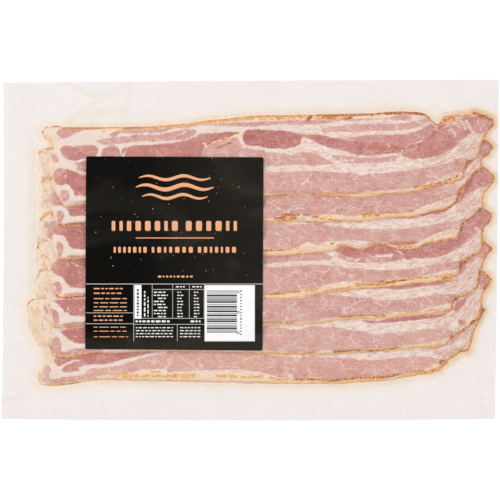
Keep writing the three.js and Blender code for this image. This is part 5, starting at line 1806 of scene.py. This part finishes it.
def rules():
    """Thin ruled lines, most of them round the table."""
    left, right, top, bottom = -58.5, -27.4, -20.6, -40.9
    grids = [
        bar(-98.2, 7.6, -20.6, -20.1),
        bar(-98.2, -69.6, -37.8, -37.4),
        bar(-98.2, -69.6, -44.3, -43.9),
        bar(-69.8, -69.4, -54.6, -20.5),
        bar(-43.7, -43.3, -54.6, -44.4),
        bar(-69.6, right, -44.7, -44.3),
        bar(-64.8, right, bottom - 0.2, bottom + 0.2),
        bar(left, right, -23.8, -23.4),
    ]
    grids += [bar(x - 0.18, x + 0.18, bottom, top) for x in (left, -46.3, -36.3, right)]
    return grids


def small_print():
    """Plain bars in the table's cells and the rows below it."""
    grids = upright_line(-40.0, -24.5, -63.0, 0.9) + upright_line(-40.0, -28.0, -61.0, 0.7)
    grids += print_line(-68.6, -48.0, -42.7, 1.2, words=(1.0, 3.0), gap=0.6)
    grids += print_line(-35.6, -28.6, -42.7, 1.2, words=(1.0, 2.4), gap=0.6)
    for start, stop in ((-44.4, -38.4), (-34.6, -28.8)):
        grids += print_line(start, stop, -22.0, 0.8, words=(1.2, 2.4), gap=0.5)
    for row in range(9):
        middle = -25.3 - row * 1.82
        indent = 2.4 * (row % 3 == 2)
        stop = -50.0 + RANDOM.uniform(-2, 1.5)
        grids += print_line(-57.6 + indent, stop, middle, 0.7, words=(1.2, 3.2), gap=0.5)
        for start in (-43.6, -33.6):
            stop = start + RANDOM.uniform(2.4, 4.2)
            grids += print_line(start, stop, middle, 0.65, words=(0.9, 2.0), gap=0.45)
    for middle in (-46.5, -48.3, -50.1, -51.9):
        grids += print_line(-68.4, -46.0, middle, 0.6, words=(1.0, 2.6), gap=0.6)
        grids += print_line(-42.0, -29.6, middle, 0.6, words=(1.0, 2.6), gap=0.6)
    return grids


def white_print():
    return [bar(-27.2, 2.9, -54.7, -21.0), bar(-69.2, -64.9, -41.2, -20.9)]


def scan_bars():
    """Dark bars of uneven width on the white panels."""
    grids, y = [], -24.3
    while y > -49.8:
        height = float(RANDOM.choice([0.35, 0.35, 0.7, 1.05]))
        grids.append(bar(-25.8, -7.8, y - height, y))
        y -= height + float(RANDOM.choice([0.35, 0.35, 0.7]))
    grids += [bar(-8.0, -6.2, y - 0.4, y) for y in (-24.3, -25.2, -36.6, -37.5, -48.9, -49.8)]
    grids += upright_line(-51.0, -23.2, -5.4, 0.8, words=(0.8, 1.3), gap=0.9)
    grids += upright_line(-39.6, -22.4, -67.1, 1.3, words=(0.8, 1.8), gap=0.5)
    return grids


def copper_flecks():
    """Small flecks of copper scattered on the black."""
    grids = []
    for _ in range(64):
        x, y = RANDOM.uniform(-96, 5), RANDOM.uniform(-18, 55)
        size = RANDOM.uniform(0.15, 0.55)
        grids.append(bar(x, x + size, y, y + size * RANDOM.uniform(0.5, 1.0), 0.1))
    return grids


def make_label():
    plates("label_paper", [label_sheet()], LABEL_THICKNESS, 0.0, PAPER,
           replaces=["label"], on_film=True)
    for name, grids_of, layer, ink in (
        ("print_white", white_print, 1, WHITE),
        ("print_rules", rules, 1, GREY),
        ("print_small", small_print, 1, WHITE),
        ("print_copper", copper_print, 1, COPPER),
        ("print_flecks", copper_flecks, 1, COPPER),
        ("print_bars", scan_bars, 2, BLACK),
    ):
        plates(name, grids_of(), INK_THICKNESS, layer * INK_LIFT, ink)


SPECK_SIDES = 8
SPECK_RADII = (0.32, 0.26)
SPECKS = [(139.8, -88.8), (138.6, -94.2), (140.4, -94.8), (138.0, -97.2), (141.0, -98.4)]


def make_specks():
    """A few small grey specks on the film's lower right corner."""
    points, faces = [], []
    sides = SPECK_SIDES
    turns = np.linspace(0, 2 * np.pi, sides + 1)[:-1]
    ring = [(SPECK_RADII[0] * np.cos(turn), SPECK_RADII[1] * np.sin(turn)) for turn in turns]
    top = SEAL_HEIGHT + INK_LIFT
    for x, y in SPECKS:
        first = len(points)
        for z in (top, top - INK_THICKNESS):
            points += [(x + out_x, y + out_y, z) for out_x, out_y in ring]
        below = first + sides
        faces += [list(range(first, below)), list(range(below + sides - 1, below - 1, -1))]
        for k in range(sides):
            following = (k + 1) % sides
            faces.append([below + k, below + following, first + following, first + k])
    make_object("film_specks", points, faces, GREY_BLUE)


FLOOR_REACH = 3.0


def make_floor():
    """A plain white table."""
    reach = FLOOR_REACH
    mesh = bpy.data.meshes.new("floor")
    points = [(-reach, -reach, 0), (reach, -reach, 0), (reach, reach, 0), (-reach, reach, 0)]
    mesh.from_pydata(points, [], [(0, 1, 2, 3)])
    material, _, shader = new_material("white_table")
    shader.inputs["Base Color"].default_value = srgb(254, 254, 254)
    shader.inputs["Roughness"].default_value = 0.9
    shader.inputs["Specular IOR Level"].default_value = 0.0
    mesh.materials.append(material)
    floor = bpy.data.objects.new("floor", mesh)
    bpy.context.scene.collection.objects.link(floor)


# The light all round, and for each lamp its place and size in metres and its power in watts
WORLD_STRENGTH = 0.86
KEY_LIGHT = {"place": (-0.9, 0.9, 1.3), "size": 0.9, "power": 8.0}
FILL_LIGHT = {"place": (1.1, -0.5, 1.2), "size": 1.2, "power": 3.0}


def area_light(name, place, size, power):
    """A soft square light that faces the middle of the pack."""
    light = bpy.data.lights.new(name, "AREA")
    light.shape = "SQUARE"
    light.size = size
    light.energy = power
    lamp = bpy.data.objects.new(name, light)
    lamp.location = place
    back = np.array(place) / np.linalg.norm(place)
    lamp.rotation_mode = "QUATERNION"
    lamp.rotation_quaternion = Vector(back).to_track_quat("Z", "Y")
    bpy.context.scene.collection.objects.link(lamp)


def make_lights():
    world = bpy.data.worlds.new("studio")
    world.use_nodes = True
    background = world.node_tree.nodes["Background"]
    background.inputs["Color"].default_value = (1.0, 1.0, 1.0, 1.0)
    background.inputs["Strength"].default_value = WORLD_STRENGTH
    bpy.context.scene.world = world
    area_light("key", **KEY_LIGHT)
    area_light("fill", **FILL_LIGHT)


# The camera's height and reach in metres, and its sensor and lens in millimetres
CAMERA_HEIGHT = 3.0
CLIP_END = 20.0
SENSOR = 36.0
LENS = 360.0


def make_camera():
    """A long lens straight above the pack, which shows 300 by 300 mm of the table."""
    camera = bpy.data.cameras.new("camera")
    camera.sensor_width = SENSOR
    camera.lens = LENS
    camera.clip_end = CLIP_END
    obj = bpy.data.objects.new("camera", camera)
    obj.location = (0, 0, CAMERA_HEIGHT)
    bpy.context.scene.collection.objects.link(obj)
    bpy.context.scene.camera = obj


def build():
    make_camera()
    make_lights()
    make_floor()
    for index in range(len(RASHERS)):
        make_rasher(index, BACON)
    make_film("film_front", film_height, FRONT_FILM, up=True)
    make_film("film_back", lambda x, y: np.full(x.shape, BACK_FILM_HEIGHT), BACK_FILM, up=False)
    make_label()
    make_specks()
    bpy.context.scene.view_settings.view_transform = "Standard"


build()
